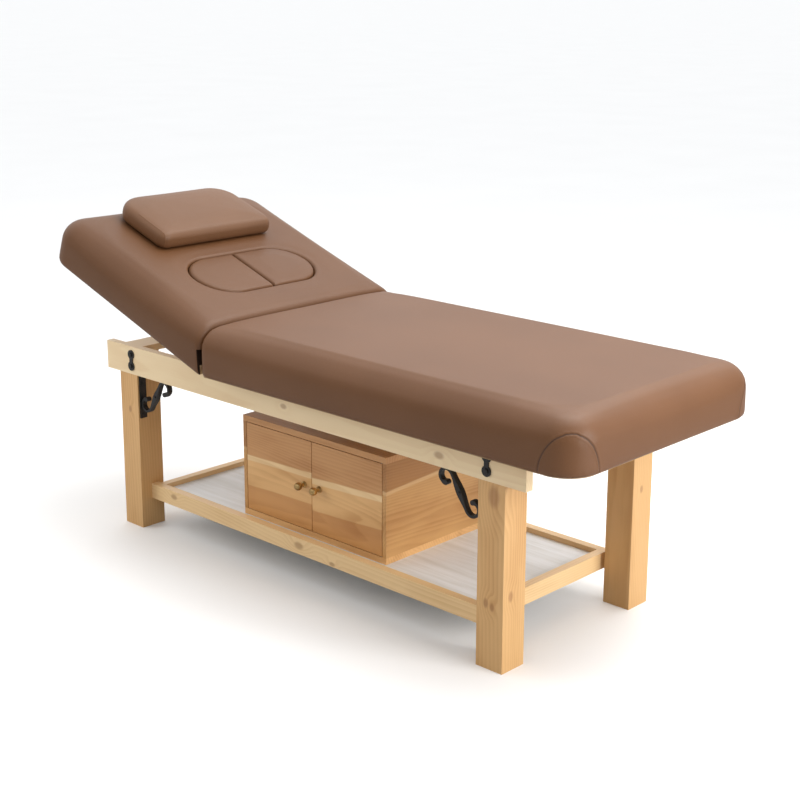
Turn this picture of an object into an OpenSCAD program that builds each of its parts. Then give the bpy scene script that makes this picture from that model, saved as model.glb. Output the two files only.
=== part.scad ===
// Wooden spa bed: an open frame with a shelf and a two-door cabinet below,
// and above it a padded seat section and a padded backrest that tilts.
// X runs along the bed with the head end at -X, the cabinet doors face -Y, Z is up from the floor.

/* [Bed] */
// Length of the padding with the backrest flat
bed_length = 1850; // [1700:10:2100]
// Width of the padding
bed_width = 706; // [620:2:800]
// Length of the backrest's padding, along its slope
backrest_length = 681; // [600:1:760]
// Gap between the two padded sections where they meet
fold_gap = 4; // [2:0.5:10]
// How far the backrest is raised in the stored pose, in degrees
backrest_angle = 19.2; // [0:0.1:45]
// How far the backrest can be raised from flat, in degrees
backrest_max_angle = 45; // [30:1:50]

/* [Frame] */
// How far the flat padding runs past the legs at the head end
head_overhang = 249; // [220:1:300]
// How far the padding runs past the legs at the foot end
foot_overhang = 237; // [200:1:280]
// How far the padding overhangs the legs along its sides
side_overhang = 77; // [60:1:100]
// Side of a square leg
leg_size = 75; // [60:1:90]
// Height of the frame's top face
frame_height = 513; // [480:1:560]
// Height of a side rail
side_rail_height = 77; // [60:1:90]
// Thickness of a side rail
side_rail_thickness = 22.5; // [18:0.5:26]
// How far a side rail runs past the legs
side_rail_overrun = 56; // [30:1:60]
// Thickness of the flat cross rails and bearers
cross_rail_thickness = 18; // [15:0.5:22]
// Radius of the dowels in the frame
frame_dowel_r = 4; // [3:0.5:4]

/* [Shelf] */
// Height of the lower rails' top face
lower_rail_top = 121; // [110:1:180]
// Height of a lower rail
lower_rail_height = 42; // [38:1:60]
// Thickness of a lower rail
lower_rail_thickness = 23; // [18:0.5:26]
// How far the long lower rails stand back from the legs' outer faces
lower_rail_setback = 34.5; // [25:0.5:45]
// How far the lower end rails stand in from the legs' inner faces
end_rail_setback = 13; // [5:1:40]
// How far the shelf lies below the lower rails' top
shelf_drop = 13; // [8:1:16]
// Thickness of the shelf board
shelf_thickness = 12; // [9:0.5:12]
// Side of a shelf cleat
cleat_size = 17; // [12:1:17]

/* [Cabinet] */
// Width of the cabinet
cabinet_width = 518; // [440:2:600]
// How far the cabinet's front and back stand in from the lower rails
cabinet_setback = 27; // [10:1:60]
// Height of the cabinet
cabinet_height = 271; // [220:1:300]
// Distance of the cabinet's middle from the middle of the legs, towards the head
cabinet_offset = 12; // [0:1:40]
// Thickness of the cabinet's top and bottom
cabinet_panel_thickness = 16; // [14:0.5:20]
// Thickness of the cabinet's sides
cabinet_side_thickness = 12; // [10:0.5:16]
// Thickness of the cabinet's back
cabinet_back_thickness = 6; // [4:0.5:9]
// Thickness of a door
door_thickness = 16; // [14:0.5:20]
// Gap round a door
door_gap = 2; // [1.5:0.5:3]
// Diameter of a knob
knob_diameter = 21; // [16:0.5:26]
// Distance from a door's face to the middle of its knob
knob_reach = 21; // [18:0.5:28]
// Distance between the two knobs
knob_spacing = 55; // [45:1:90]

/* [Padding] */
// Thickness of a padded section, with its board
padding_thickness = 130; // [115:1:145]
// Thickness of the board under a padded section
board_thickness = 25; // [20:1:28]
// Radius of the padding's upper edge along its sides
padding_edge_r = 56; // [40:1:60]
// Radius of the padding's upper edge at the head and foot ends
padding_end_r = 60; // [40:1:70]
// Radius of the padding's upper edge at the fold
padding_fold_r = 12; // [8:1:40]
// Radius of the padding's corners, seen from above
padding_corner_r = 82; // [60:1:110]
// Radius of the padding's lower edge
padding_lower_r = 12; // [8:1:16]
// Rise of the padding's middle above its edges
padding_crown = 3; // [2:0.5:5]
// How far the board's edges lie in from the padding's edges
board_inset = 13; // [12.5:0.5:20]
// Board end to padding end, at the fold
board_end_inset = 3; // [2:0.5:5]

/* [Plugs] */
// Width of the split oval that the two plugs fill, across the bed
plug_pair_length = 392; // [340:2:440]
// Width of a plug, along the bed
plug_width = 187; // [150:1:210]
// Distance from the fold to the middle of the plugs
plug_from_fold = 240; // [225:1:280]
// Gap between a plug and the padding round it
plug_gap = 1.5; // [1:0.25:3]

/* [Pillow] */
// Length of the pillow, across the bed
pillow_length = 390; // [340:2:440]
// Width of the pillow, along the bed
pillow_width = 236; // [200:2:240]
// Height of the pillow
pillow_height = 58; // [45:1:75]
// Distance from the fold to the pillow's nearer edge
pillow_from_fold = 396; // [390:1:410]

/* [Backrest fittings] */
// Thickness of a hinge arm
arm_thickness = 5; // [4:0.5:6]
// Width of a hinge arm
arm_width = 40; // [36:1:44]
// Length of a moving arm along its batten
arm_length = 170; // [140:2:200]
// Radius of a hinge pin
hinge_pin_r = 5; // [4:0.5:6]
// Width of a backrest batten
batten_width = 28; // [20:1:36]
// Height of a backrest batten
batten_height = 22; // [20:1:22]
// Length of a backrest batten
batten_length = 310; // [240:2:320]

/* [Ironwork] */
// Height of a strap plate
strap_height = 57; // [50:1:64]
// Width of a strap plate's round ends
strap_end_width = 25; // [20:1:30]
// Width of a strap plate's waist
strap_waist_width = 12; // [8:1:16]
// Thickness of a strap plate
strap_thickness = 3; // [2:0.5:4]
// Width of the scroll brackets' flat iron
scroll_iron_width = 14; // [10:1:18]
// Radius of a scroll's outer turn, at the middle of its iron
scroll_turn_r = 21; // [18:0.5:23]
// Half the scroll's thickness at its arms
scroll_half_thickness = 3; // [2:0.25:4]
// Length of a scroll bracket's leg plate
scroll_plate_length = 121; // [115:1:130]

/* [Hidden] */
// Clearances: a running fit, a hole round a fastener, soft pieces and resting faces
running_fit = 0.05;
fastener_fit = 0.2;
soft_fit = 0.3;
rest_fit = 0.3;
// What a cut runs past the face that it opens
cut_over = 1;
// Smoothness of round pieces
round_steps = 48;

// Colours
pale_pine = [0.90, 0.81, 0.66];
honey_pine = [0.84, 0.66, 0.45];
rail_pine = [0.85, 0.72, 0.52];
cabinet_oak = [0.76, 0.56, 0.36];
shelf_grey = [0.80, 0.81, 0.80];
plywood = [0.72, 0.60, 0.44];
padding_brown = [0.58, 0.44, 0.36];
pillow_brown = [0.62, 0.48, 0.40];
black_iron = [0.16, 0.14, 0.14];
old_brass = [0.63, 0.50, 0.25];
zinc = [0.70, 0.71, 0.72];
dowel_beech = [0.80, 0.66, 0.50];

// Lengthwise places
frame_length = bed_length - head_overhang - foot_overhang;
leg_outer_x = frame_length / 2;
leg_inner_x = leg_outer_x - leg_size;
seat_x1 = leg_outer_x + foot_overhang;
backrest_x0 = -leg_outer_x - head_overhang;
backrest_x1 = backrest_x0 + backrest_length;
seat_x0 = backrest_x1 + fold_gap;
axis_x = seat_x0 - fold_gap / 2;

// Crosswise places
frame_width = bed_width - 2 * side_overhang;
leg_outer_y = frame_width / 2;
leg_inner_y = leg_outer_y - leg_size;
side_rail_inner_y = leg_outer_y - side_rail_thickness;
lower_rail_outer_y = leg_outer_y - lower_rail_setback;
lower_rail_inner_y = lower_rail_outer_y - lower_rail_thickness;
lower_rail_mid_y = lower_rail_outer_y - lower_rail_thickness / 2;

// Heights
side_rail_z0 = frame_height - side_rail_height;
cross_rail_z0 = frame_height - cross_rail_thickness;
lower_rail_z0 = lower_rail_top - lower_rail_height;
shelf_top = lower_rail_top - shelf_drop;
board_top = frame_height + board_thickness;
axis_z = board_top + rest_fit;

// Lower end rails
end_rail_outer_x = leg_inner_x - end_rail_setback;
end_rail_inner_x = end_rail_outer_x - lower_rail_thickness;
end_rail_mid_x = end_rail_outer_x - lower_rail_thickness / 2;

// Bearers under the seat: their middles, clear of the hinge arms at the head end
bearer_width = leg_size;
bearer_hinge_x = axis_x + arm_width / 2 + bearer_width / 2 + leg_size / 8;
bearer_middle_x = (seat_x0 + leg_inner_x) / 2 + leg_size / 2;

// Dowels of the frame
dowel_depth = 25;
dowel_short_depth = 12;
dowel_pitch = 20;
top_dowel_x = leg_outer_x - leg_size / 4;
top_dowel_y = leg_inner_y + (side_rail_inner_y - leg_inner_y) / 2;
top_dowel_half_pitch = leg_size / 6;
bearer_dowel_half_pitch = bearer_width / 4;
board_dowel_y = frame_width / 4;

// Strap plates and their bolts
strap_middle_z = side_rail_z0 + side_rail_height / 2;
strap_place_share = 0.3;
strap_x = leg_inner_x + leg_size * strap_place_share;
strap_end_r = strap_end_width / 2;
strap_bolt_half_pitch = strap_height / 2 - strap_end_r;
strap_bolt_r = 3;
strap_bolt_head_r = 6;
strap_bolt_head_height = 3.5;
strap_bolt_leg_depth = 28;
strap_bolt_length = strap_thickness + side_rail_thickness + strap_bolt_leg_depth;

// Scroll brackets: two spirals that mirror each other through the middle rivet
scroll_plate_thickness = 4;
scroll_plate_width = 21;
scroll_y = leg_outer_y - leg_size / 5;
scroll_half_width = 60;
scroll_half_height = 50;
scroll_middle_x = leg_inner_x - scroll_plate_thickness - scroll_half_width;
scroll_middle_z = side_rail_z0 - scroll_half_height;
scroll_start_deg = 22;
scroll_end_deg = 275;
scroll_tighten_share = 0.34;
function turn_r(t) = scroll_turn_r * (1 - scroll_tighten_share * t);
function turn_r_at(deg) = turn_r((deg - scroll_start_deg) / (scroll_end_deg - scroll_start_deg));
scroll_turn_x = scroll_half_width - scroll_half_thickness - turn_r_at(180);
scroll_turn_z = scroll_half_height - scroll_half_thickness - turn_r_at(90);
scroll_swell = 4.5;
scroll_bead = 3;
scroll_bead_steps = 4;
scroll_rivet_r = 3.5;
scroll_rivet_height = 2.5;
bracket_screw_r = 2.5;
bracket_screw_head_r = 4.5;
bracket_screw_head_height = 2.2;
bracket_screw_depth = 30;
bracket_screw_shares = [0.2, 0.93];

// Padding sections
padding_edge_height = padding_thickness - padding_crown;
corner_steps = 8;
round_angles = [0, 14, 28, 42, 56, 70, 90];
lower_shares = [0, 0.35, 1];
crown_shares = [0.8, 0.5];
least_corner_r = 5;
padding_fold_corner_r = 16;
padding_above_axis = frame_height + padding_thickness - axis_z;
board_half_width = bed_width / 2 - board_inset;
board_corner_r = padding_corner_r - board_inset;

// Backrest hinge, from the side rail's inner face towards the middle
washer_thickness = 1.5;
fixed_arm_y = side_rail_inner_y - arm_thickness;
moving_arm_y = fixed_arm_y - washer_thickness - arm_thickness;
arm_r = arm_width / 2;
fixed_arm_drop_share = 0.88;
fixed_arm_drop = side_rail_height * fixed_arm_drop_share;
arm_strip_z1 = -board_thickness;
arm_strip_z0 = arm_strip_z1 - batten_height;
arm_neck_share = 0.55;
arm_neck = arm_width * arm_neck_share;
pin_head_r = 9;
pin_head_height = 3;
nut_r = 8.5;
nut_height = 5;
washer_r = 13;
hinge_room = 2;
pocket_inner_y = moving_arm_y - nut_height - hinge_room;
pocket_outer_y = side_rail_inner_y + pin_head_height + hinge_room;
pocket_reach = arm_r + hinge_room;
wood_screw_r = 2.25;
wood_screw_head_r = 4.5;
wood_screw_head_height = 2.5;
wood_screw_length = 18;
fixed_screw_shares = [0.18, 0.42];
moving_screw_shares = [0.35, 0.6, 0.85];
batten_start = arm_r + hinge_room + arm_width / 10;
batten_screw_shares = [0.15, 0.85];
batten_screw_r = 2;
batten_screw_head_r = 4;
batten_screw_board_depth = 15;
batten_outer_y = moving_arm_y;
batten_mid_y = batten_outer_y - batten_width / 2;

// Plugs
plug_edge_r = 9;
plug_crown = 2;
plug_half_width = plug_width / 2;
plug_middle_x = axis_x - plug_from_fold;
plug_round_angles = [0, 30, 60, 90];
plug_steps = 16;
recess_length = plug_pair_length + 2 * plug_gap;
recess_half_width = plug_half_width + plug_gap;

// Pillow
pillow_edge_r = 22;
pillow_lower_r = 14;
pillow_crown = 8;
pillow_head_corner_r = 75;
pillow_front_corner_r = 24;
pillow_x1 = axis_x - pillow_from_fold;
pillow_x0 = pillow_x1 - pillow_width;
pillow_z0 = frame_height + rest_fit + padding_thickness + soft_fit;

// Cabinet
cabinet_x0 = -cabinet_offset - cabinet_width / 2;
cabinet_x1 = cabinet_x0 + cabinet_width;
cabinet_y1 = lower_rail_inner_y - cabinet_setback;
cabinet_y0 = -cabinet_y1;
cabinet_depth = cabinet_y1 - cabinet_y0;
cabinet_inner_z0 = shelf_top + cabinet_panel_thickness;
cabinet_inner_z1 = shelf_top + cabinet_height - cabinet_panel_thickness;
cabinet_inner_x0 = cabinet_x0 + cabinet_side_thickness;
cabinet_inner_x1 = cabinet_x1 - cabinet_side_thickness;
cabinet_back_inset = cabinet_side_thickness / 3;
cabinet_dowel_r = 3;
cabinet_dowel_panel_depth = 10;
cabinet_dowel_side_depth = 18;
cabinet_dowel_y_share = 0.36;
cabinet_dowel_y = cabinet_depth * cabinet_dowel_y_share;
door_z0 = cabinet_inner_z0 + door_gap;
door_z1 = cabinet_inner_z1 - door_gap;
door_split_x = -cabinet_offset;
door_back_y = cabinet_y0 + door_thickness;
pivot_r = 2.5;
pivot_setback = 4.5;
pivot_panel_depth = 9;
pivot_door_depth = 20;
knob_r = knob_diameter / 2;
knob_stem_r = 4.2;
knob_rosette_r = 9;
knob_rosette_height = 2.5;
knob_z = (door_z0 + door_z1) / 2;
knob_screw_r = 2;
knob_screw_head_r = 4;
knob_screw_head_height = 2;
knob_screw_stem_depth = 12;
catch_width = 36;
catch_height = 13;
catch_depth = 15;
catch_gap = 0.3;
catch_from_split = 24;
strike_thickness = 1.5;

// Each ring of a padded solid lies a little further in or up: its inset by the edge's radius
function upper_inset(height, top, r) =
    height <= top - r ? 0 : r - sqrt(max(0, r * r - pow(height - top + r, 2)));
function lower_inset(height, r) =
    height >= r ? 0 : r - sqrt(max(0, r * r - pow(r - height, 2)));

// A rounded rectangle from x0 to x1 with its two corner radii, as points at one height
function corner_points(x, y, r, start) =
    [for (i = [0 : corner_steps - 1])
        let (a = start + 90 * i / (corner_steps - 1)) [x + r * cos(a), y + r * sin(a)]];
function ring(x0, x1, half_width, r0, r1, z) =
    [for (p = concat(
            corner_points(x1 - r1, half_width - r1, r1, 0),
            corner_points(x0 + r0, half_width - r0, r0, 90),
            corner_points(x0 + r0, -half_width + r0, r0, 180),
            corner_points(x1 - r1, -half_width + r1, r1, 270)))
        [p[0], p[1], z]];

// Rings above the last one, drawn in towards its middle and rising to the crown
function middle(points) = [for (k = [0 : 2]) (min([for (p = points) p[k]]) + max([for (p = points) p[k]])) / 2];
function crown_rings(last, crown) =
    let (m = middle(last))
    [for (s = crown_shares)
        [for (p = last) [m[0] + s * (p[0] - m[0]), m[1] + s * (p[1] - m[1]), p[2] + crown * (1 - s * s)]]];

// Heights of the rings: up the lower edge, past any between, then round the upper edge
function ring_heights(lower_r, between, top, edge_r) =
    concat([for (s = lower_shares) lower_r * s], between,
           [for (a = round_angles) top - edge_r + edge_r * sin(a)]);

// How far the backrest's fold end is cut back so that it clears the seat up to its highest stop
function fold_cut(height) =
    let (above = height + frame_height + rest_fit - axis_z,
         widest = (padding_above_axis - padding_fold_r / 2) * sin(backrest_max_angle))
    above <= 0 ? 0 : min(above * tan(backrest_max_angle), widest);

function cushion_rings(x0, x1, z0, inset0, inset1, corner0, corner1) =
    [for (i = [0 : len(padding_heights) - 1])
        let (h = padding_heights[i],
             low = lower_inset(h, padding_lower_r),
             side = low + upper_inset(h, padding_edge_height, padding_edge_r),
             i0 = low + inset0[i],
             i1 = low + inset1[i])
        ring(x0 + i0, x1 - i1, bed_width / 2 - side,
             max(corner0 - i0, least_corner_r), max(corner1 - i1, least_corner_r), z0 + h)];

padding_heights = ring_heights(padding_lower_r, [board_thickness], padding_edge_height,
                               max(padding_edge_r, padding_end_r));
end_insets = [for (h = padding_heights) upper_inset(h, padding_edge_height, padding_end_r)];
seat_fold_insets = [for (h = padding_heights) upper_inset(h, padding_edge_height, padding_fold_r)];
backrest_fold_insets =
    [for (h = padding_heights) max(fold_cut(h), upper_inset(h, padding_edge_height, padding_fold_r))];

// The whole bed moves along X so that its origin is under the middle of its length as stored
head_reach = min([for (i = [0 : len(padding_heights) - 1])
    let (h = padding_heights[i],
         x = backrest_x0 + end_insets[i] + lower_inset(h, padding_lower_r))
    axis_x + (x - axis_x) * cos(backrest_angle)
        + (frame_height + rest_fit + h - axis_z) * sin(backrest_angle)]);
row_shift = -(head_reach + seat_x1) / 2;

// A block given by its three ranges
module block(x, y, z) {
    translate([x[0], y[0], z[0]]) cube([x[1] - x[0], y[1] - y[0], z[1] - z[0]]);
}

// A round bar along one direction: "x", "y" or "z", centred on its length
module bar(p, along, r, length) {
    turn = along == "x" ? [0, 90, 0] : along == "y" ? [90, 0, 0] : [0, 0, 0];
    translate(p) rotate(turn) cylinder(h = length, r = r, center = true, $fn = round_steps);
}

// A screw or bolt: its head lies outside the face at z = 0 and its shank runs down from it
module screw(shank_r, length, head_r, head_height) {
    translate([0, 0, -length]) cylinder(h = length + head_height / 2, r = shank_r, $fn = round_steps);
    cylinder(h = head_height, r = head_r, $fn = round_steps);
}

module screw_hole(shank_r, length) {
    translate([0, 0, -length - fastener_fit])
        cylinder(h = length + fastener_fit + cut_over, r = shank_r + fastener_fit, $fn = round_steps);
}

// A closed padded solid through rings of points, lowest ring first, closed above by a middle point
module loft(rings, crown) {
    all = concat(rings, crown_rings(rings[len(rings) - 1], crown));
    n = len(all[0]);
    count = len(all);
    m = middle(all[count - 1]);
    top_z = rings[len(rings) - 1][0][2] + crown;
    points = concat([for (r = all) each r], [[m[0], m[1], top_z]]);
    faces = concat(
        [[for (i = [0 : n - 1]) i]],
        [for (k = [0 : count - 2]) for (i = [0 : n - 1])
            [k * n + i, (k + 1) * n + i, (k + 1) * n + (i + 1) % n]],
        [for (k = [0 : count - 2]) for (i = [0 : n - 1])
            [k * n + i, (k + 1) * n + (i + 1) % n, k * n + (i + 1) % n]],
        [for (i = [0 : n - 1]) [(count - 1) * n + i, count * n, (count - 1) * n + (i + 1) % n]]);
    polyhedron(points, faces);
}

// Places: the row's shift, and the backrest's tilt about its hinge axis
module placed() {
    translate([row_shift, 0, 0]) children();
}

module raised() {
    placed() translate([axis_x, 0, axis_z]) rotate([0, backrest_angle, 0]) translate([-axis_x, 0, -axis_z])
        children();
}

// Where the dowels of the frame lie, each as a place, a direction and its half length
module frame_dowel_set(extra_r) {
    r = frame_dowel_r + extra_r;
    for (sx = [-1, 1]) for (sy = [-1, 1]) {
        for (k = [-1, 1]) {
            rail_z = lower_rail_z0 + lower_rail_height / 2 + k * dowel_pitch / 2;
            bar([sx * leg_inner_x, sy * lower_rail_mid_y, rail_z], "x", r, 2 * (dowel_depth + extra_r));
            bar([sx * end_rail_mid_x, sy * lower_rail_inner_y, rail_z], "y", r,
                2 * (dowel_short_depth + extra_r));
            bar([sx * top_dowel_x, sy * (top_dowel_y + k * top_dowel_half_pitch), cross_rail_z0], "z", r,
                2 * (dowel_short_depth + extra_r));
        }
    }
    for (x = [bearer_hinge_x, bearer_middle_x]) for (sy = [-1, 1]) {
        bar([x, sy * board_dowel_y, frame_height], "z", r, 2 * (dowel_short_depth + extra_r));
        for (k = [-1, 1])
            bar([x + k * bearer_dowel_half_pitch, sy * side_rail_inner_y,
                 frame_height - cross_rail_thickness / 2], "y", r, 2 * (dowel_short_depth + extra_r));
    }
}

// Strap bolts and their holes, each from the strap plate's outer face
module strap_bolt_places() {
    for (sx = [-1, 1]) for (sy = [-1, 1]) for (k = [-1, 1])
        translate([sx * strap_x, sy * (leg_outer_y + strap_thickness),
                   strap_middle_z + k * strap_bolt_half_pitch])
            rotate([-sy * 90, 0, 0]) children();
}

// Screws through a scroll bracket's plate into the leg, and on the other side of the bed
module bracket_screw_places() {
    for (sx = [-1, 1]) for (sy = [-1, 1]) for (share = bracket_screw_shares)
        translate([sx * (leg_inner_x - scroll_plate_thickness), sy * scroll_y,
                   side_rail_z0 - scroll_plate_length * share])
            rotate([0, -sx * 90, 0]) children();
}

module leg(sx, sy) {
    color(honey_pine) placed() difference() {
        block([sx * leg_outer_x - (sx > 0 ? leg_size : 0), sx * leg_outer_x + (sx > 0 ? 0 : leg_size)],
              [sy * leg_outer_y - (sy > 0 ? leg_size : 0), sy * leg_outer_y + (sy > 0 ? 0 : leg_size)],
              [0, cross_rail_z0]);
        // The notch that takes the side rail
        block([-leg_outer_x - cut_over, leg_outer_x + cut_over],
              sy > 0 ? [side_rail_inner_y, leg_outer_y + cut_over] : [-leg_outer_y - cut_over, -side_rail_inner_y],
              [side_rail_z0, frame_height]);
        strap_bolt_places() screw_hole(strap_bolt_r, strap_bolt_length);
        bracket_screw_places() screw_hole(bracket_screw_r, bracket_screw_depth);
        frame_dowel_set(fastener_fit);
    }
}

module side_rail(sy) {
    reach = leg_outer_x + side_rail_overrun;
    color(pale_pine) placed() difference() {
        block([-reach, reach], sy > 0 ? [side_rail_inner_y, leg_outer_y] : [-leg_outer_y, -side_rail_inner_y],
              [side_rail_z0, frame_height]);
        strap_bolt_places() screw_hole(strap_bolt_r, strap_bolt_length);
        frame_dowel_set(fastener_fit);
        fixed_arm_screw_places() screw_hole(wood_screw_r, wood_screw_length);
    }
}

module cross_rail(x0, x1) {
    color(pale_pine) placed() difference() {
        block([x0, x1], [-side_rail_inner_y, side_rail_inner_y], [cross_rail_z0, frame_height]);
        frame_dowel_set(fastener_fit);
    }
}

module lower_long_rail(sy) {
    color(rail_pine) placed() difference() {
        block([-leg_inner_x, leg_inner_x],
              sy > 0 ? [lower_rail_inner_y, lower_rail_outer_y] : [-lower_rail_outer_y, -lower_rail_inner_y],
              [lower_rail_z0, lower_rail_top]);
        frame_dowel_set(fastener_fit);
    }
}

module lower_end_rail(sx) {
    color(rail_pine) placed() difference() {
        block(sx > 0 ? [end_rail_inner_x, end_rail_outer_x] : [-end_rail_outer_x, -end_rail_inner_x],
              [-lower_rail_inner_y, lower_rail_inner_y], [lower_rail_z0, lower_rail_top]);
        frame_dowel_set(fastener_fit);
    }
}

module shelf_board() {
    color(shelf_grey) placed()
        block([-end_rail_inner_x, end_rail_inner_x], [-lower_rail_inner_y, lower_rail_inner_y],
              [shelf_top - shelf_thickness, shelf_top]);
}

module shelf_cleats() {
    z1 = shelf_top - shelf_thickness;
    color(rail_pine) placed() for (sy = [-1, 1])
        block([-end_rail_inner_x, end_rail_inner_x],
              sy > 0 ? [lower_rail_inner_y - cleat_size, lower_rail_inner_y]
                     : [-lower_rail_inner_y, -lower_rail_inner_y + cleat_size],
              [z1 - cleat_size, z1]);
}

module frame_dowels() {
    color(dowel_beech) placed() frame_dowel_set(0);
}

// A strap plate is a flat bar with two round ends
module strap_plates() {
    color(black_iron) placed() for (sx = [-1, 1]) for (sy = [-1, 1])
        translate([sx * strap_x, sy > 0 ? leg_outer_y + strap_thickness : -leg_outer_y, strap_middle_z])
            rotate([90, 0, 0]) linear_extrude(strap_thickness) difference() {
                union() {
                    square([strap_waist_width, 2 * strap_bolt_half_pitch], center = true);
                    for (k = [-1, 1]) translate([0, k * strap_bolt_half_pitch])
                        circle(strap_end_r, $fn = round_steps);
                }
                for (k = [-1, 1]) translate([0, k * strap_bolt_half_pitch])
                    circle(strap_bolt_r + fastener_fit, $fn = round_steps);
            }
}

module strap_bolts() {
    color(black_iron) placed() strap_bolt_places()
        screw(strap_bolt_r, strap_bolt_length, strap_bolt_head_r, strap_bolt_head_height);
}

// Half of the scroll's middle line: out from the rivet, then round the shrinking turn
scroll_turn_steps = 22;
scroll_arm_steps = 6;
function turn_point(t) =
    let (a = scroll_start_deg + (scroll_end_deg - scroll_start_deg) * t)
    [-scroll_turn_x + turn_r(t) * cos(a), scroll_turn_z + turn_r(t) * sin(a)];
function half_line() = concat(
    [for (i = [0 : scroll_arm_steps - 1]) turn_point(0) * i / scroll_arm_steps],
    [for (i = [0 : scroll_turn_steps]) turn_point(i / scroll_turn_steps)]);
// The iron swells at the rivet and ends in a bead
function half_thickness(i, last) =
    scroll_half_thickness
        + (i < scroll_arm_steps ? scroll_swell * pow(cos(90 * i / scroll_arm_steps), 2) : 0)
        + (i > last - scroll_bead_steps
            ? scroll_bead * sin(90 * (i - last + scroll_bead_steps) / scroll_bead_steps) : 0);
function side_point(line, i, side) =
    let (last = len(line) - 1,
         a = line[max(i - 1, 0)],
         b = line[min(i + 1, last)],
         d = (b - a) / norm(b - a))
    line[i] + side * half_thickness(i, last) * [-d[1], d[0]];
module scroll_half_outline() {
    line = half_line();
    last = len(line) - 1;
    polygon(concat([for (i = [0 : last]) side_point(line, i, 1)],
                   [for (i = [last : -1 : 0]) side_point(line, i, -1)]));
    translate(line[last]) circle(scroll_half_thickness + scroll_bead, $fn = round_steps);
}

// One scroll bracket, drawn for the foot end and mirrored for the head end
module scroll_bracket(sx, sy) {
    color(black_iron) placed() mirror([sx > 0 ? 0 : 1, 0, 0]) {
        translate([scroll_middle_x, sy * scroll_y, scroll_middle_z]) rotate([90, 0, 0]) {
            linear_extrude(scroll_iron_width, center = true) {
                scroll_half_outline();
                rotate(180) scroll_half_outline();
            }
            cylinder(h = scroll_iron_width + 2 * scroll_rivet_height, r = scroll_rivet_r, center = true,
                     $fn = round_steps);
        }
        difference() {
            block([leg_inner_x - scroll_plate_thickness, leg_inner_x],
                  [sy * scroll_y - scroll_plate_width / 2, sy * scroll_y + scroll_plate_width / 2],
                  [side_rail_z0 - scroll_plate_length, side_rail_z0]);
            bracket_screw_places() screw_hole(bracket_screw_r, bracket_screw_depth);
        }
    }
}

module bracket_screws() {
    color(black_iron) placed() bracket_screw_places()
        screw(bracket_screw_r, bracket_screw_depth, bracket_screw_head_r, bracket_screw_head_height);
}

// The room that each hinge needs in the ends of both boards and both paddings
module hinge_pockets() {
    for (sy = [-1, 1])
        block([axis_x - pocket_reach, axis_x + pocket_reach],
              sy > 0 ? [pocket_inner_y, pocket_outer_y] : [-pocket_outer_y, -pocket_inner_y],
              [frame_height - cut_over, axis_z + pocket_reach]);
}

// A board's outline: square at the fold and with rounded corners at its far end
module board_outline(fold_x, end_x, grow) {
    s = sign(end_x - fold_x);
    r = board_corner_r + grow;
    half = board_half_width + grow;
    middle_x = (fold_x - s * grow + end_x - s * board_corner_r) / 2;
    translate([middle_x, 0]) square([abs(end_x - fold_x) + grow - board_corner_r, 2 * half], center = true);
    translate([(fold_x + end_x) / 2, 0])
        square([abs(end_x - fold_x) + 2 * grow, 2 * (half - r)], center = true);
    for (k = [-1, 1]) translate([end_x - s * board_corner_r, k * (half - r)])
        circle(r, $fn = round_steps);
}

module board_block(fold_x, end_x, z0) {
    translate([0, 0, z0]) linear_extrude(board_thickness) board_outline(fold_x, end_x, 0);
}

// The hollow under a padding that its board fills, open below
module board_pocket(fold_x, end_x, z0) {
    translate([0, 0, z0 - cut_over]) linear_extrude(board_thickness + soft_fit + cut_over)
        board_outline(fold_x, end_x, soft_fit);
}

module seat_board() {
    color(plywood) placed() difference() {
        board_block(seat_x0 + board_end_inset, seat_x1 - board_inset, frame_height);
        hinge_pockets();
        frame_dowel_set(fastener_fit);
    }
}

module seat_mattress() {
    rings = cushion_rings(seat_x0, seat_x1, frame_height, seat_fold_insets, end_insets,
                          padding_fold_corner_r, padding_corner_r);
    color(padding_brown) placed() difference() {
        loft(rings, padding_crown);
        board_pocket(seat_x0 + board_end_inset, seat_x1 - board_inset, frame_height);
        hinge_pockets();
    }
}

module backrest_board() {
    color(plywood) raised() difference() {
        board_block(backrest_x1 - board_end_inset, backrest_x0 + board_inset, frame_height + rest_fit);
        hinge_pockets();
        batten_screw_places() screw_hole(batten_screw_r, batten_height + batten_screw_board_depth);
    }
}

module backrest_mattress() {
    rings = cushion_rings(backrest_x0, backrest_x1, frame_height + rest_fit, end_insets,
                          backrest_fold_insets, padding_corner_r, padding_fold_corner_r);
    color(padding_brown) raised() difference() {
        loft(rings, padding_crown);
        board_pocket(backrest_x1 - board_end_inset, backrest_x0 + board_inset, frame_height + rest_fit);
        hinge_pockets();
        // The split oval that the plugs fill, down to the board
        translate([plug_middle_x, 0, board_top]) linear_extrude(padding_thickness)
            oval(recess_length, recess_half_width);
    }
}

module oval(length, half_width) {
    square([2 * half_width, length - 2 * half_width], center = true);
    for (k = [-1, 1]) translate([0, k * (length / 2 - half_width)]) circle(half_width, $fn = round_steps);
}

// Battens under the backrest's board, just inside the moving arms
module batten(sy) {
    x1 = axis_x - batten_start;
    z1 = frame_height + rest_fit;
    color(rail_pine) raised() difference() {
        block([x1 - batten_length, x1],
              sy > 0 ? [batten_outer_y - batten_width, batten_outer_y]
                     : [-batten_outer_y, -batten_outer_y + batten_width],
              [z1 - batten_height, z1]);
        batten_screw_places() screw_hole(batten_screw_r, batten_height + batten_screw_board_depth);
        moving_arm_screw_places() screw_hole(wood_screw_r, wood_screw_length);
    }
}

module batten_screw_places() {
    for (sy = [-1, 1]) for (share = batten_screw_shares)
        translate([axis_x - batten_start - batten_length * share, sy * batten_mid_y,
                   frame_height + rest_fit - batten_height])
            rotate([180, 0, 0]) children();
}

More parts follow.
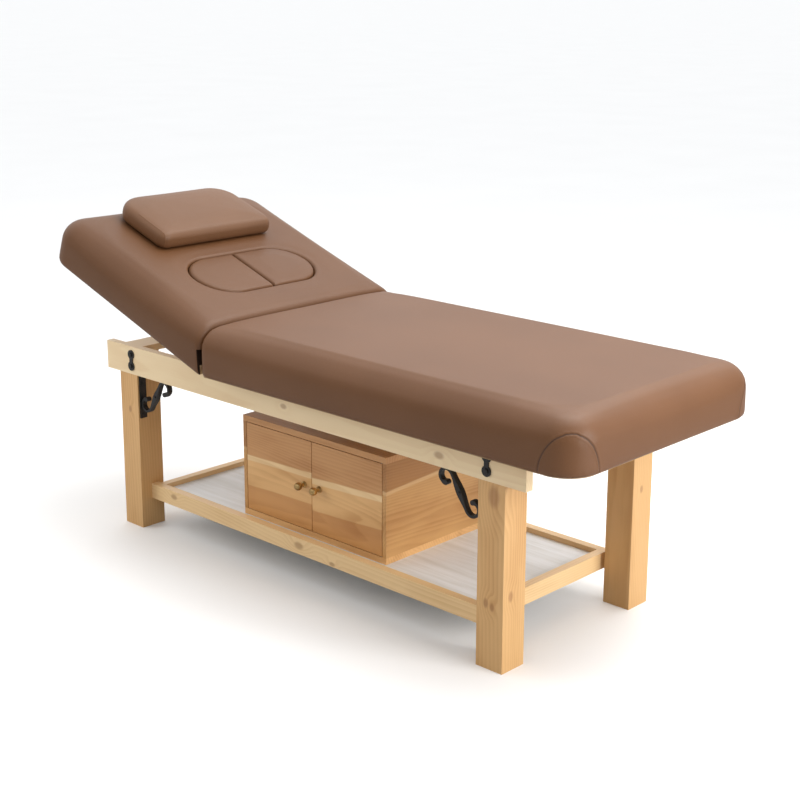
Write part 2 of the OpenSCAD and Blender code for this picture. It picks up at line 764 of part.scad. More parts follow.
module moving_arm_screw_places() {
    for (sy = [-1, 1]) for (share = moving_screw_shares)
        translate([axis_x - arm_length * share, sy * (moving_arm_y + arm_thickness),
                   axis_z + (arm_strip_z0 + arm_strip_z1) / 2])
            rotate([-sy * 90, 0, 0]) children();
}

module fixed_arm_screw_places() {
    for (sy = [-1, 1]) for (share = fixed_screw_shares)
        translate([axis_x, sy * fixed_arm_y, frame_height - fixed_arm_drop * (1 - share)])
            rotate([sy * 90, 0, 0]) children();
}

module backrest_screws() {
    color(zinc) raised() {
        batten_screw_places() screw(batten_screw_r, batten_height + batten_screw_board_depth,
                                    batten_screw_head_r, wood_screw_head_height);
        moving_arm_screw_places() screw(wood_screw_r, wood_screw_length, wood_screw_head_r,
                                        wood_screw_head_height);
    }
}

// A plate in the XZ plane of the hinge axis, from a 2D outline of x and height about the axis
module arm_plate(inner_y, sy) {
    translate([axis_x, sy > 0 ? inner_y + arm_thickness : -inner_y, axis_z]) rotate([90, 0, 0])
        linear_extrude(arm_thickness) children();
}

module hinge_fixed_arm(sy) {
    color(zinc) placed() difference() {
        arm_plate(fixed_arm_y, sy) difference() {
            union() {
                circle(arm_r, $fn = round_steps);
                translate([-arm_r, frame_height - fixed_arm_drop - axis_z])
                    square([arm_width, axis_z - frame_height + fixed_arm_drop]);
            }
            circle(hinge_pin_r + running_fit, $fn = round_steps);
        }
        fixed_arm_screw_places() screw_hole(wood_screw_r, wood_screw_length);
    }
}

module hinge_moving_arm(sy) {
    color(zinc) raised() difference() {
        arm_plate(moving_arm_y, sy) difference() {
            union() {
                circle(arm_r, $fn = round_steps);
                translate([-arm_neck, arm_strip_z0]) square([arm_neck, -arm_strip_z0]);
                translate([-arm_length, arm_strip_z0]) square([arm_length, arm_strip_z1 - arm_strip_z0]);
            }
            circle(hinge_pin_r + running_fit, $fn = round_steps);
        }
        moving_arm_screw_places() screw_hole(wood_screw_r, wood_screw_length);
    }
}

// Pins are headed outside the fixed arms and end in the nuts inside the moving arms
module hinge_pins() {
    length = side_rail_inner_y - moving_arm_y + nut_height;
    color(zinc) placed() for (sy = [-1, 1])
        translate([axis_x, sy * side_rail_inner_y, axis_z]) rotate([-sy * 90, 0, 0])
            screw(hinge_pin_r, length, pin_head_r, pin_head_height);
}

module hinge_washers() {
    color(black_iron) placed() for (sy = [-1, 1])
        translate([axis_x, sy * (fixed_arm_y - washer_thickness / 2), axis_z]) rotate([90, 0, 0])
            difference() {
                cylinder(h = washer_thickness, r = washer_r, center = true, $fn = round_steps);
                cylinder(h = washer_thickness + 2 * cut_over, r = hinge_pin_r + running_fit, center = true,
                         $fn = round_steps);
            }
}

module hinge_nuts() {
    color(zinc) placed() for (sy = [-1, 1])
        translate([axis_x, sy * (moving_arm_y - nut_height / 2), axis_z]) rotate([90, 0, 0])
            difference() {
                cylinder(h = nut_height, r = nut_r, center = true, $fn = 6);
                cylinder(h = nut_height + 2 * cut_over, r = hinge_pin_r, center = true,
                         $fn = round_steps);
            }
}

module hinge_frame_screws() {
    color(zinc) placed() fixed_arm_screw_places()
        screw(wood_screw_r, wood_screw_length, wood_screw_head_r, wood_screw_head_height);
}

// Half of the split oval: straight at the split, round at its outer end, on the side that sy gives
function plug_ring(inset, z, sy) =
    let (r = plug_half_width - inset, y1 = plug_pair_length / 2 - plug_half_width, y0 = plug_gap / 2 + inset)
    concat(
        [for (i = [0 : plug_steps]) let (a = 180 * i / plug_steps) [sy * r * cos(a), sy * (y1 + r * sin(a)), z]],
        [for (x = [-r, r]) [sy * x, sy * y0, z]]);

module plug(sy) {
    top = frame_height + rest_fit + padding_thickness - plug_crown - board_top;
    lower_r = plug_edge_r / 2;
    rings = concat(
        [for (a = [90, 45, 0]) plug_ring(lower_r * (1 - cos(a)), lower_r * (1 - sin(a)), sy)],
        [for (a = plug_round_angles)
            plug_ring(plug_edge_r * (1 - cos(a)), top - plug_edge_r * (1 - sin(a)), sy)]);
    color(padding_brown) raised() translate([plug_middle_x, 0, board_top + rest_fit + soft_fit])
        loft(rings, plug_crown);
}

module pillow() {
    top = pillow_height - pillow_crown;
    heights = ring_heights(pillow_lower_r, [], top, pillow_edge_r);
    rings = [for (h = heights)
        let (inset = lower_inset(h, pillow_lower_r) + upper_inset(h, top, pillow_edge_r))
        ring(pillow_x0 + inset, pillow_x1 - inset, pillow_length / 2 - inset,
             pillow_head_corner_r - inset, pillow_front_corner_r - inset / 2, pillow_z0 + h)];
    color(pillow_brown) raised() loft(rings, pillow_crown);
}

// Places of the cabinet's dowels, at the foot and top of both sides
module cabinet_dowel_set(extra_r) {
    length = cabinet_dowel_panel_depth + cabinet_dowel_side_depth + 2 * extra_r;
    shift = (cabinet_dowel_side_depth - cabinet_dowel_panel_depth) / 2;
    for (x = [cabinet_x0 + cabinet_side_thickness / 2, cabinet_x1 - cabinet_side_thickness / 2])
        for (k = [-1, 0, 1]) {
            bar([x, k * cabinet_dowel_y, cabinet_inner_z0 + shift], "z", cabinet_dowel_r + extra_r, length);
            bar([x, k * cabinet_dowel_y, cabinet_inner_z1 - shift], "z", cabinet_dowel_r + extra_r, length);
        }
}

module cabinet_panel(z0) {
    color(cabinet_oak) placed() difference() {
        block([cabinet_x0, cabinet_x1], [cabinet_y0, cabinet_y1], [z0, z0 + cabinet_panel_thickness]);
        cabinet_dowel_set(fastener_fit);
        for (side = [-1, 1]) pivot_places(side) pivot(running_fit);
    }
}

module cabinet_side(x0) {
    color(cabinet_oak) placed() difference() {
        block([x0, x0 + cabinet_side_thickness], [cabinet_y0, cabinet_y1], [cabinet_inner_z0, cabinet_inner_z1]);
        cabinet_dowel_set(fastener_fit);
    }
}

module cabinet_back() {
    y1 = cabinet_y1 - cabinet_back_inset;
    color(cabinet_oak) placed()
        block([cabinet_inner_x0, cabinet_inner_x1], [y1 - cabinet_back_thickness, y1],
              [cabinet_inner_z0, cabinet_inner_z1]);
}

module cabinet_dowels() {
    color(dowel_beech) placed() cabinet_dowel_set(0);
}

// Magnet blocks under the cabinet's top, behind the doors
module cabinet_catches() {
    y0 = door_back_y + strike_thickness + catch_gap;
    color(zinc) placed() for (side = [-1, 1])
        translate([door_split_x + side * (catch_from_split + catch_width / 2), 0, 0])
            block([-catch_width / 2, catch_width / 2], [y0, y0 + catch_depth],
                  [cabinet_inner_z1 - catch_height, cabinet_inner_z1]);
}

module strike(side) {
    color(zinc) placed()
        translate([door_split_x + side * (catch_from_split + catch_width / 2), 0, 0])
            block([-catch_width / 3, catch_width / 3], [door_back_y, door_back_y + strike_thickness],
                  [cabinet_inner_z1 - catch_height, door_z1]);
}

// A door turns on two pins near its outer edge: side is -1 for the left door and 1 for the right one
function door_outer_x(side) = side < 0 ? cabinet_inner_x0 + door_gap : cabinet_inner_x1 - door_gap;
function pivot_x(side) = door_outer_x(side) - side * pivot_setback;
module pivot_places(side) {
    translate([pivot_x(side), cabinet_y0 + pivot_setback, 0]) for (upper = [0, 1])
        translate([0, 0, upper ? cabinet_inner_z1 : cabinet_inner_z0]) mirror([0, 0, upper ? 0 : 1]) children();
}
module pivot(extra_r) {
    length = pivot_panel_depth + door_gap + pivot_door_depth + 2 * extra_r;
    translate([0, 0, pivot_panel_depth + extra_r - length])
        cylinder(h = length, r = pivot_r + extra_r, $fn = round_steps);
}

module door(side) {
    inner_x = door_split_x + side * door_gap / 2;
    outer_x = door_outer_x(side);
    color(cabinet_oak) placed() difference() {
        block([min(inner_x, outer_x), max(inner_x, outer_x)], [cabinet_y0, door_back_y], [door_z0, door_z1]);
        pivot_places(side) pivot(fastener_fit);
        knob_place(side) translate([0, 0, -door_thickness - cut_over])
            cylinder(h = door_thickness + 2 * cut_over, r = knob_screw_r + fastener_fit, $fn = round_steps);
    }
}

module door_pivots(side) {
    color(zinc) placed() pivot_places(side) pivot(0);
}

module knob_place(side) {
    translate([door_split_x + side * knob_spacing / 2, cabinet_y0, knob_z]) rotate([90, 0, 0]) children();
}

module knob(side) {
    color(old_brass) placed() knob_place(side) difference() {
        union() {
            cylinder(h = knob_rosette_height, r = knob_rosette_r, $fn = round_steps);
            cylinder(h = knob_reach, r = knob_stem_r, $fn = round_steps);
            translate([0, 0, knob_reach]) sphere(knob_r, $fn = round_steps);
        }
        translate([0, 0, -cut_over])
            cylinder(h = knob_screw_stem_depth + cut_over + fastener_fit, r = knob_screw_r + fastener_fit,
                     $fn = round_steps);
    }
}

module knob_screw(side) {
    color(zinc) placed() knob_place(side) translate([0, 0, -door_thickness]) mirror([0, 0, 1])
        screw(knob_screw_r, door_thickness + knob_screw_stem_depth, knob_screw_head_r, knob_screw_head_height);
}

leg(-1, -1);  // leg_head_front
leg(-1, 1);  // leg_head_back
leg(1, -1);  // leg_foot_front
leg(1, 1);  // leg_foot_back
side_rail(-1);  // side_rail_front
side_rail(1);  // side_rail_back
cross_rail(-leg_outer_x, -leg_inner_x);  // head_rail
cross_rail(leg_inner_x, leg_outer_x);  // foot_rail
cross_rail(bearer_hinge_x - bearer_width / 2, bearer_hinge_x + bearer_width / 2);  // bearer_hinge
cross_rail(bearer_middle_x - bearer_width / 2, bearer_middle_x + bearer_width / 2);  // bearer_middle
lower_long_rail(-1);  // lower_rail_front
lower_long_rail(1);  // lower_rail_back
lower_end_rail(-1);  // lower_rail_head
lower_end_rail(1);  // lower_rail_foot
shelf_board();
shelf_cleats();
frame_dowels();
strap_plates();
strap_bolts();
scroll_bracket(-1, -1);  // scroll_head_front
scroll_bracket(-1, 1);  // scroll_head_back
scroll_bracket(1, -1);  // scroll_foot_front
scroll_bracket(1, 1);  // scroll_foot_back
bracket_screws();
seat_board();
seat_mattress();
backrest_board();
backrest_mattress();
batten(-1);  // batten_front
batten(1);  // batten_back
backrest_screws();
plug(-1);  // plug_front
plug(1);  // plug_back
pillow();
hinge_fixed_arm(-1);  // hinge_fixed_arm_front
hinge_fixed_arm(1);  // hinge_fixed_arm_back
hinge_moving_arm(-1);  // hinge_moving_arm_front
hinge_moving_arm(1);  // hinge_moving_arm_back
hinge_pins();
hinge_washers();
hinge_nuts();
hinge_frame_screws();
cabinet_panel(cabinet_inner_z1);  // cabinet_top
cabinet_panel(shelf_top);  // cabinet_bottom
cabinet_side(cabinet_x0);  // cabinet_side_left
cabinet_side(cabinet_inner_x1);  // cabinet_side_right
cabinet_back();
cabinet_dowels();
cabinet_catches();
door(-1);  // door_left
door(1);  // door_right
door_pivots(-1);  // door_pivots_left
door_pivots(1);  // door_pivots_right
knob(-1);  // knob_left
knob(1);  // knob_right
knob_screw(-1);  // knob_screw_left
knob_screw(1);  // knob_screw_right
strike(-1);  // strike_left
strike(1);  // strike_right
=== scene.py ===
# %% [markdown]
# # A spa bed with a cabinet base, dressed in Blender
# The hard parts come from the bed's CAD model: legs, rails, shelf, cabinet, doors and iron. They
# are loaded as a fixed frame and keep their shape. Blender adds what CAD can't show well: the
# soft padding, its seams, and the wood, cover, iron and brass that the light plays on.

# %% Load the frame
import math

import bmesh
import bpy
import numpy as np
from mathutils import Matrix, Vector
from mathutils.kdtree import KDTree


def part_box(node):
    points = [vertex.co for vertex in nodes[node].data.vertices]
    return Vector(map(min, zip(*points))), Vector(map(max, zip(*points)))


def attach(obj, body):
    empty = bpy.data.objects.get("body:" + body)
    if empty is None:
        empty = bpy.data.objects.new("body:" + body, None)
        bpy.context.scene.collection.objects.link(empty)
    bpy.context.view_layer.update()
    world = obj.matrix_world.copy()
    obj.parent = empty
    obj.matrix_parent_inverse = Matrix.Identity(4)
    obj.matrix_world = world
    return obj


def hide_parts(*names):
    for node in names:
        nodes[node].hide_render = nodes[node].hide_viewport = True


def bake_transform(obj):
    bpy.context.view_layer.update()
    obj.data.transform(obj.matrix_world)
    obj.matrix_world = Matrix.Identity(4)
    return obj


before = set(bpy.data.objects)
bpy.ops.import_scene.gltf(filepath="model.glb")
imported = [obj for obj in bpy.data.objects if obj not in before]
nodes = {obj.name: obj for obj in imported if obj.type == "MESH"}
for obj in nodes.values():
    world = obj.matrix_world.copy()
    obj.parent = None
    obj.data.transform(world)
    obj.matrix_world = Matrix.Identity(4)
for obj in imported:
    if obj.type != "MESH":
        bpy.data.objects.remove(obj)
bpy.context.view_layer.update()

MM = 0.001
NEAR = 0.01 * MM

# %% [markdown]
# ## The camera
# The bed is seen from its foot end and its front side: 44 degrees round and 14 degrees down, from
# about four metres away through a long lens. A long lens keeps the far end nearly as big as the
# near one. A Track To constraint would also aim the camera, but three turns written as numbers
# can be checked. The small shift keeps the legs nearly upright in the picture, as a shift lens does.

# %% Camera
IMAGE_WIDTH = 800
CAMERA_PLACE = (2.5931, -2.6217, 1.5031)
FOCAL_PIXELS = 1502.4
SHIFT_PIXELS = -60
YAW, PITCH, ROLL = (math.radians(a) for a in (43.58, 13.87, 0.16))

bpy.ops.object.camera_add(location=CAMERA_PLACE)
camera = bpy.context.object
camera.name = "picture_camera"
camera.data.sensor_width = 36
camera.data.lens = FOCAL_PIXELS / IMAGE_WIDTH * camera.data.sensor_width
camera.data.shift_y = SHIFT_PIXELS / IMAGE_WIDTH
camera.data.clip_end = 500
turned = (Matrix.Rotation(YAW, 3, "Z")
          @ Matrix.Rotation(math.pi / 2 - PITCH, 3, "X")
          @ Matrix.Rotation(ROLL, 3, "Z"))
camera.rotation_euler = turned.to_euler()
bpy.context.scene.camera = camera
print("lens", round(camera.data.lens, 2), "mm")

# %% [markdown]
# ## The studio
# A catalogue picture is white all round. The bed stands on a white floor that has no edge. A low
# soft lamp near the foot end is the key light, a large one above lights the tops, and a weak one
# fills the front side without being mirrored in the cover, where it would show as a pale patch.
# A large lamp makes a soft edge to each shadow.

# %% Floor
FLOOR_SIZE = 400

bpy.ops.object.select_all(action="DESELECT")
bpy.ops.mesh.primitive_plane_add(size=FLOOR_SIZE, location=(0, 0, 0))
floor = bpy.context.object
floor.name = "studio_floor"

# %% Lamps
BED_MIDDLE = Vector((0, 0, 0.45))


def soft_lamp(name, place, size, watts, colour):
    """A square soft lamp at place that faces the bed and isn't seen itself."""
    bpy.ops.object.light_add(type="AREA", location=place)
    lamp = bpy.context.object
    lamp.name = name
    lamp.data.shape = "SQUARE"
    lamp.data.size = size
    lamp.data.energy = watts
    lamp.data.color = colour
    aim = BED_MIDDLE - Vector(place)
    lamp.rotation_euler = aim.to_track_quat("-Z", "Y").to_euler()
    lamp.visible_camera = False
    return lamp


soft_lamp("key_lamp", (3.3, 0.3, 1.3), 1.5, 76, (1.0, 0.98, 0.96))
soft_lamp("top_lamp", (0.6, 0.9, 3.0), 2.4, 72, (1.0, 0.98, 0.95))
front_lamp = soft_lamp("front_lamp", (-2.3, -2.2, 1.3), 1.6, 27, (1.0, 0.96, 0.90))
front_lamp.visible_glossy = False

# %% [markdown]
# ## Helpers for materials
# A material is a small graph of nodes. Adding one node by hand takes four lines, so one short
# function adds a node, sets its values and links its inputs at once. Patterns read Object
# coordinates. Every object sits at the origin, so a pattern stays where it is in the real piece.

# %% Node helpers
def add_node(tree, kind, values=None, **settings):
    """Adds a node and returns it. A value is a number, a colour or another node's output socket."""
    made = tree.nodes.new(kind)
    for name, setting in settings.items():
        setattr(made, name, setting)
    for key, value in (values or {}).items():
        if isinstance(value, bpy.types.NodeSocket):
            tree.links.new(value, made.inputs[key])
        else:
            made.inputs[key].default_value = value
    return made


def maths(tree, operation, a, b=0.0, clamp=False):
    return add_node(tree, "ShaderNodeMath", {0: a, 1: b}, operation=operation, use_clamp=clamp).outputs[0]


def vector_maths(tree, operation, a, b):
    return add_node(tree, "ShaderNodeVectorMath", {0: a, 1: b}, operation=operation).outputs[0]


# A Mix node's two colours go into these sockets.
MIX_A, MIX_B = 6, 7


def mix_colour(tree, share, a, b, blend="MIX"):
    """The colour a at share 0 and b at share 1."""
    values = {0: share}
    for socket, colour in ((MIX_A, a), (MIX_B, b)):
        values[socket] = colour if isinstance(colour, bpy.types.NodeSocket) else (*colour, 1)
    return add_node(tree, "ShaderNodeMix", values, data_type="RGBA", blend_type=blend).outputs[2]


def soft_step(tree, value, low, high):
    """0 at low and 1 at high, with a smooth rise between them."""
    return add_node(tree, "ShaderNodeMapRange", {0: value, 1: low, 2: high, 3: 0.0, 4: 1.0},
                    interpolation_type="SMOOTHSTEP").outputs[0]

# %% [markdown]
# ## The sky
# The sky is a graph of nodes too. It is bright overhead and dim at the horizon, so tops are light
# and sides a little darker, and brighter behind the bed, which gives the covers a satin gloss.
# The camera itself sees white paper there, and the plain Standard view keeps it white.

# %% Sky
SKY_HORIZON, SKY_RISE, SKY_BEHIND = 0.10, 1.25, 0.75
SKY_COLOUR, PAPER_COLOUR = (0.98, 0.99, 1, 1), (1, 1, 1, 1)
FROM_CAMERA = (-0.69, 0.72, 0)

bpy.context.scene.view_settings.view_transform = "Standard"
sky = bpy.data.worlds.new("studio_sky")
bpy.context.scene.world = sky
sky.use_nodes = True
tree = sky.node_tree
ray = add_node(tree, "ShaderNodeTexCoord").outputs["Generated"]
upward = add_node(tree, "ShaderNodeSeparateXYZ", {0: ray}).outputs["Z"]
away = add_node(tree, "ShaderNodeVectorMath", {0: ray, 1: FROM_CAMERA}, operation="DOT_PRODUCT")
rise = add_node(tree, "ShaderNodeMapRange", {
    "Value": upward, "To Min": SKY_HORIZON, "To Max": SKY_HORIZON + SKY_RISE})
behind = add_node(tree, "ShaderNodeMapRange", {"Value": away.outputs["Value"], "To Max": SKY_BEHIND})
strength = maths(tree, "ADD", rise.outputs[0], behind.outputs[0])
light = add_node(tree, "ShaderNodeBackground", {"Color": SKY_COLOUR, "Strength": strength})
white_paper = add_node(tree, "ShaderNodeBackground", {"Color": PAPER_COLOUR})
seen = add_node(tree, "ShaderNodeLightPath").outputs["Is Camera Ray"]
either = add_node(tree, "ShaderNodeMixShader", {0: seen, 1: light.outputs[0], 2: white_paper.outputs[0]})
tree.links.new(either.outputs[0], tree.nodes["World Output"].inputs["Surface"])
print("sky from", SKY_HORIZON, "at the horizon to", SKY_HORIZON + SKY_RISE, "overhead")

# %% [markdown]
# ## Patterns, relief and gloss
# Noise that is squeezed along one axis becomes fibres or streaks. The same pattern can drive
# colour, relief and roughness together, as on a real surface. A bump gives relief too fine to
# model, and the small changes of roughness are what make a highlight look natural.

# %% Patterns and materials
def object_point(tree, scale=(1, 1, 1)):
    """Object coordinates, stretched or squeezed."""
    source = add_node(tree, "ShaderNodeTexCoord").outputs["Object"]
    return add_node(tree, "ShaderNodeMapping", {"Vector": source, "Scale": scale}).outputs[0]


def cloudy(tree, point, scale, detail=3.0, roughness=0.5):
    return add_node(tree, "ShaderNodeTexNoise", {
        "Vector": point, "Scale": scale, "Detail": detail, "Roughness": roughness}).outputs["Fac"]


def raise_surface(tree, shader, height, distance, strength):
    """Links a bump: height from 0 to 1 stands for distance in metres."""
    made = add_node(tree, "ShaderNodeBump", {"Height": height, "Strength": strength, "Distance": distance})
    tree.links.new(made.outputs[0], shader.inputs["Normal"])


def new_material(name, roughness, metallic=0.0):
    """A new material, its node tree and its shader."""
    material = bpy.data.materials.new(name)
    material.use_nodes = True
    shader = material.node_tree.nodes["Principled BSDF"]
    shader.inputs["Roughness"].default_value = roughness
    shader.inputs["Metallic"].default_value = metallic
    return material, material.node_tree, shader


def vary_roughness(tree, shader, pattern, change, base):
    """Roughness is base where the pattern is 0, and base plus change where it is 1."""
    roughness = maths(tree, "ADD", maths(tree, "MULTIPLY", pattern, change), base)
    tree.links.new(roughness, shader.inputs["Roughness"])


def two_colours(tree, shader, share, a, b):
    """Colours the surface a at share 0 and b at share 1."""
    tree.links.new(mix_colour(tree, share, a, b), shader.inputs["Base Color"])


def paint(material, *names):
    """Gives CAD nodes a material. A name that ends in * stands for all that start with it."""
    for wanted in names:
        found = [n for n in nodes if n == wanted or wanted.endswith("*") and n.startswith(wanted[:-1])]
        for name in found:
            nodes[name].data.materials.clear()
            nodes[name].data.materials.append(material)

# %% [markdown]
# ## Grain
# A board is cut from a trunk, so its grain is a slice through nested, slightly wavy tubes: the
# year rings. That is easy to draw in three dimensions. Take the distance from a line (the pith),
# bend it with slow noise, and shade each ring from pale spring wood to darker autumn wood. Faces,
# edges and end grain then agree with each other, as they do on a real board. A knot is a branch:
# the rings swing round it, and its middle is dark.

# %% Year rings
AXES = {"x": 0, "y": 1, "z": 2}
LONG_WAVE = 0.12
FIBRE_STRETCH = 0.02
TRUNK_TAPER = 0.012
KNOT_STRETCH, KNOT_SWING = 0.6, 1.1


def squeezed(along, share):
    """A scale that stretches a pattern along one axis."""
    return [share if i == AXES[along] else 1.0 for i in range(3)]


def from_pith(tree, along, pith, bend):
    """Distance from the pith's line, bent by slow noise."""
    slow = object_point(tree, squeezed(along, LONG_WAVE))
    noise = add_node(tree, "ShaderNodeTexNoise", {"Vector": slow, "Scale": 6.0, "Detail": 2.0})
    swing = vector_maths(tree, "SUBTRACT", noise.outputs["Color"], (0.5,) * 3)
    swing = vector_maths(tree, "MULTIPLY", swing, (bend,) * 3)
    place = vector_maths(tree, "SUBTRACT", vector_maths(tree, "ADD", object_point(tree), swing), pith)
    parts = add_node(tree, "ShaderNodeSeparateXYZ", {0: place})
    sides = [parts.outputs[i] for i in range(3) if i != AXES[along]]
    across = [maths(tree, "MULTIPLY", side, side) for side in sides]
    distance = maths(tree, "SQRT", maths(tree, "ADD", *across))
    taper = maths(tree, "MULTIPLY", parts.outputs[AXES[along]], TRUNK_TAPER)
    return maths(tree, "ADD", distance, taper)


def knot_distance(tree, along, centre, size):
    """How many knot radii away a point is. A knot is longer along the grain."""
    away = vector_maths(tree, "SUBTRACT", object_point(tree), centre)
    shape = [s / size for s in squeezed(along, KNOT_STRETCH)]
    away = vector_maths(tree, "MULTIPLY", away, shape)
    return add_node(tree, "ShaderNodeVectorMath", {0: away}, operation="LENGTH").outputs["Value"]


def grain(tree, along, pith, ring, bend, knots):
    """The parts of a wood pattern, each from 0 to 1: autumn wood, fibres, patches and knots."""
    distance = from_pith(tree, along, pith, bend)
    dark_knots = 0.0
    for centre, size in knots:
        radii = knot_distance(tree, along, centre, size)
        distance = maths(tree, "ADD", distance,
                         maths(tree, "MULTIPLY", soft_step(tree, radii, 4.0, 0.6), KNOT_SWING * size))
        dark_knots = maths(tree, "MAXIMUM", dark_knots, soft_step(tree, radii, 1.3, 0.5))
    fibres = cloudy(tree, object_point(tree, squeezed(along, FIBRE_STRETCH)), 480.0, 3.0, 0.6)
    turns = maths(tree, "ADD", maths(tree, "DIVIDE", distance, ring), maths(tree, "MULTIPLY", fibres, 0.3))
    within = maths(tree, "FRACT", turns)
    autumn = maths(tree, "MULTIPLY", soft_step(tree, within, 0.15, 0.85), soft_step(tree, within, 1.0, 0.88))
    patches = cloudy(tree, object_point(tree, squeezed(along, LONG_WAVE * 2)), 16.0, 3.0)
    return {"autumn": autumn, "fibres": fibres, "patches": patches, "knots": dark_knots}

# %% [markdown]
# ## From grain to wood
# The rings, fibres and patches become one share between a pale and a dark colour. The same
# pattern also roughens the surface and raises the fibres a little, as planed wood feels.

# %% Wood
KNOT_BROWN, KNOT_SHARE = (0.24, 0.09, 0.03), 0.5


def wood(name, along, pale, dark, pith, ring=0.006, bend=0.06, figure=0.35, mottle=0.3, knots=(),
         roughness=0.45):
    """Wood from a pale and a dark colour, which may be sockets."""
    material, tree, shader = new_material(name, roughness)
    parts = grain(tree, along, pith, ring, bend, knots)
    share = maths(tree, "MULTIPLY", parts["autumn"], maths(tree, "MULTIPLY", parts["patches"], 2 * figure))
    fine = maths(tree, "MULTIPLY", maths(tree, "SUBTRACT", parts["fibres"], 0.5), 0.5 * figure)
    wide = maths(tree, "MULTIPLY", soft_step(tree, parts["patches"], 0.42, 0.72), mottle)
    share = maths(tree, "ADD", maths(tree, "ADD", share, fine), wide, clamp=True)
    colour = mix_colour(tree, share, pale, dark)
    if knots:
        colour = mix_colour(tree, maths(tree, "MULTIPLY", parts["knots"], KNOT_SHARE), colour, KNOT_BROWN)
    tree.links.new(colour, shader.inputs["Base Color"])
    vary_roughness(tree, shader, share, 0.15, roughness - 0.05)
    relief = maths(tree, "ADD", parts["fibres"], maths(tree, "MULTIPLY", parts["autumn"], 0.4))
    raise_surface(tree, shader, relief, 0.25 * MM, 0.3)
    return material

# %% [markdown]
# ## Which wood goes where
# The legs are honey-coloured pine, the upper rails a much paler pine, and the lower rails a yellow
# one. Each leg has its own pith line, far to one side, because such legs are sawn or laminated
# from boards cut away from the heart: the rings run nearly straight down a face. A few knots sit
# where a sawyer would leave them.

# %% Pine
HONEY, HONEY_DARK = (0.68, 0.41, 0.175), (0.52, 0.27, 0.095)
CREAM, CREAM_DARK = (0.86, 0.68, 0.43), (0.76, 0.55, 0.32)
YELLOW, YELLOW_DARK = (0.84, 0.59, 0.31), (0.66, 0.42, 0.19)

LEGS = {
    "leg_head_front": dict(pith=(-0.80, -0.42, 0), knots=[((-0.655, -0.276, 0.335), 0.006)]),
    "leg_head_back": dict(pith=(-0.52, 0.40, 0), knots=[((-0.66, 0.276, 0.21), 0.008)]),
    "leg_foot_front": dict(pith=(0.52, -0.44, 0), knots=[
        ((0.622, -0.276, 0.155), 0.007), ((0.640, -0.276, 0.150), 0.006), ((0.671, -0.250, 0.176), 0.008),
        ((0.640, -0.276, 0.405), 0.016)]),
    "leg_foot_back": dict(pith=(0.60, 0.42, 0), knots=[((0.671, 0.235, 0.30), 0.006)]),
}
for name, look in LEGS.items():
    paint(wood("pine_" + name, "z", HONEY, HONEY_DARK, look["pith"], ring=0.0068, knots=look["knots"]), name)
paint(wood("pine_upper_long", "x", CREAM, CREAM_DARK, (0, 0.30, 0.60), ring=0.007, figure=0.35, mottle=0.25,
           knots=[((0.48, -0.276, 0.462), 0.009), ((-0.03, -0.276, 0.470), 0.007)]),
      "side_rail_front", "side_rail_back")
paint(wood("pine_upper_cross", "y", CREAM, CREAM_DARK, (0.3, 0, 0.60), ring=0.007, figure=0.4, mottle=0.25),
      "head_rail", "foot_rail", "bearer_hinge", "bearer_middle")
paint(wood("pine_lower_long", "x", YELLOW, YELLOW_DARK, (0, -0.10, 0.02), ring=0.0055,
           knots=[((-0.52, -0.2415, 0.105), 0.008), ((-0.02, -0.2415, 0.102), 0.010),
                  ((0.10, -0.2415, 0.086), 0.006)]),
      "lower_rail_front", "lower_rail_back", "shelf_cleats", "batten_front", "batten_back")
paint(wood("pine_lower_cross", "y", YELLOW, YELLOW_DARK, (0.5, 0, 0.02), ring=0.0055,
           knots=[((0.6376, -0.19, 0.10), 0.007)]),
      "lower_rail_head", "lower_rail_foot")
paint(wood("beech_dowels", "z", (0.60, 0.42, 0.26), (0.46, 0.29, 0.16), (0.02, 0.02, 0), ring=0.003),
      "frame_dowels", "cabinet_dowels")

# %% [markdown]
# ## The cabinet's oak
# The cabinet is made of boards with a printed or veneered oak pattern: lying planks, brown above,
# a pale streak of sapwood, golden below, and a browner plank at the foot. On the front and on the
# sides the seams climb a little, so a colour ramp follows the height minus a slope. On the sides
# the brown band at the top is a darker plank deepened with painted shadow of the bed above it.

# %% Oak
OAK_BROWN, OAK_GOLD = (0.58, 0.30, 0.120), (0.77, 0.46, 0.195)
OAK_PALE, OAK_LOW = (0.85, 0.60, 0.32), (0.60, 0.30, 0.105)
FIGURE_TINT = (0.72, 0.62, 0.52)
SEAM_BLUR = 1.2 * MM
# The sides' top colour is a darker plank deepened with painted shadow of the bed above it.
SIDE_PLANK_AND_BED_SHADOW, SIDE_GOLD, SIDE_PALE = (0.42, 0.20, 0.065), (0.60, 0.33, 0.120), (0.68, 0.43, 0.20)
RAMP_HEIGHT = 0.4


def planks(tree, slope_axis, slope, origin, levels):
    """Colour by height: each level is (height in metres, colour above it)."""
    parts = add_node(tree, "ShaderNodeSeparateXYZ", {0: object_point(tree)})
    waves = cloudy(tree, object_point(tree, squeezed(slope_axis, 0.3)), 14.0, 2.0)
    along = maths(tree, "SUBTRACT", parts.outputs[AXES[slope_axis]], origin)
    height = maths(tree, "SUBTRACT", parts.outputs[2], maths(tree, "MULTIPLY", along, slope))
    height = maths(tree, "ADD", height, maths(tree, "MULTIPLY", maths(tree, "SUBTRACT", waves, 0.5), 8 * MM))
    ramp = add_node(tree, "ShaderNodeValToRGB", {0: maths(tree, "DIVIDE", height, RAMP_HEIGHT)})
    stops = ramp.color_ramp.elements
    stops[0].position, stops[0].color = 0.0, (*levels[0][1], 1)
    stops[1].position, stops[1].color = 1.0, (*levels[-1][1], 1)
    for (z, upper), (_, lower) in zip(levels[1:], levels[:-1]):
        for shift, colour in ((-SEAM_BLUR, lower), (SEAM_BLUR, upper)):
            stops.new((z + shift) / RAMP_HEIGHT).color = (*colour, 1)
    return ramp.outputs[0]


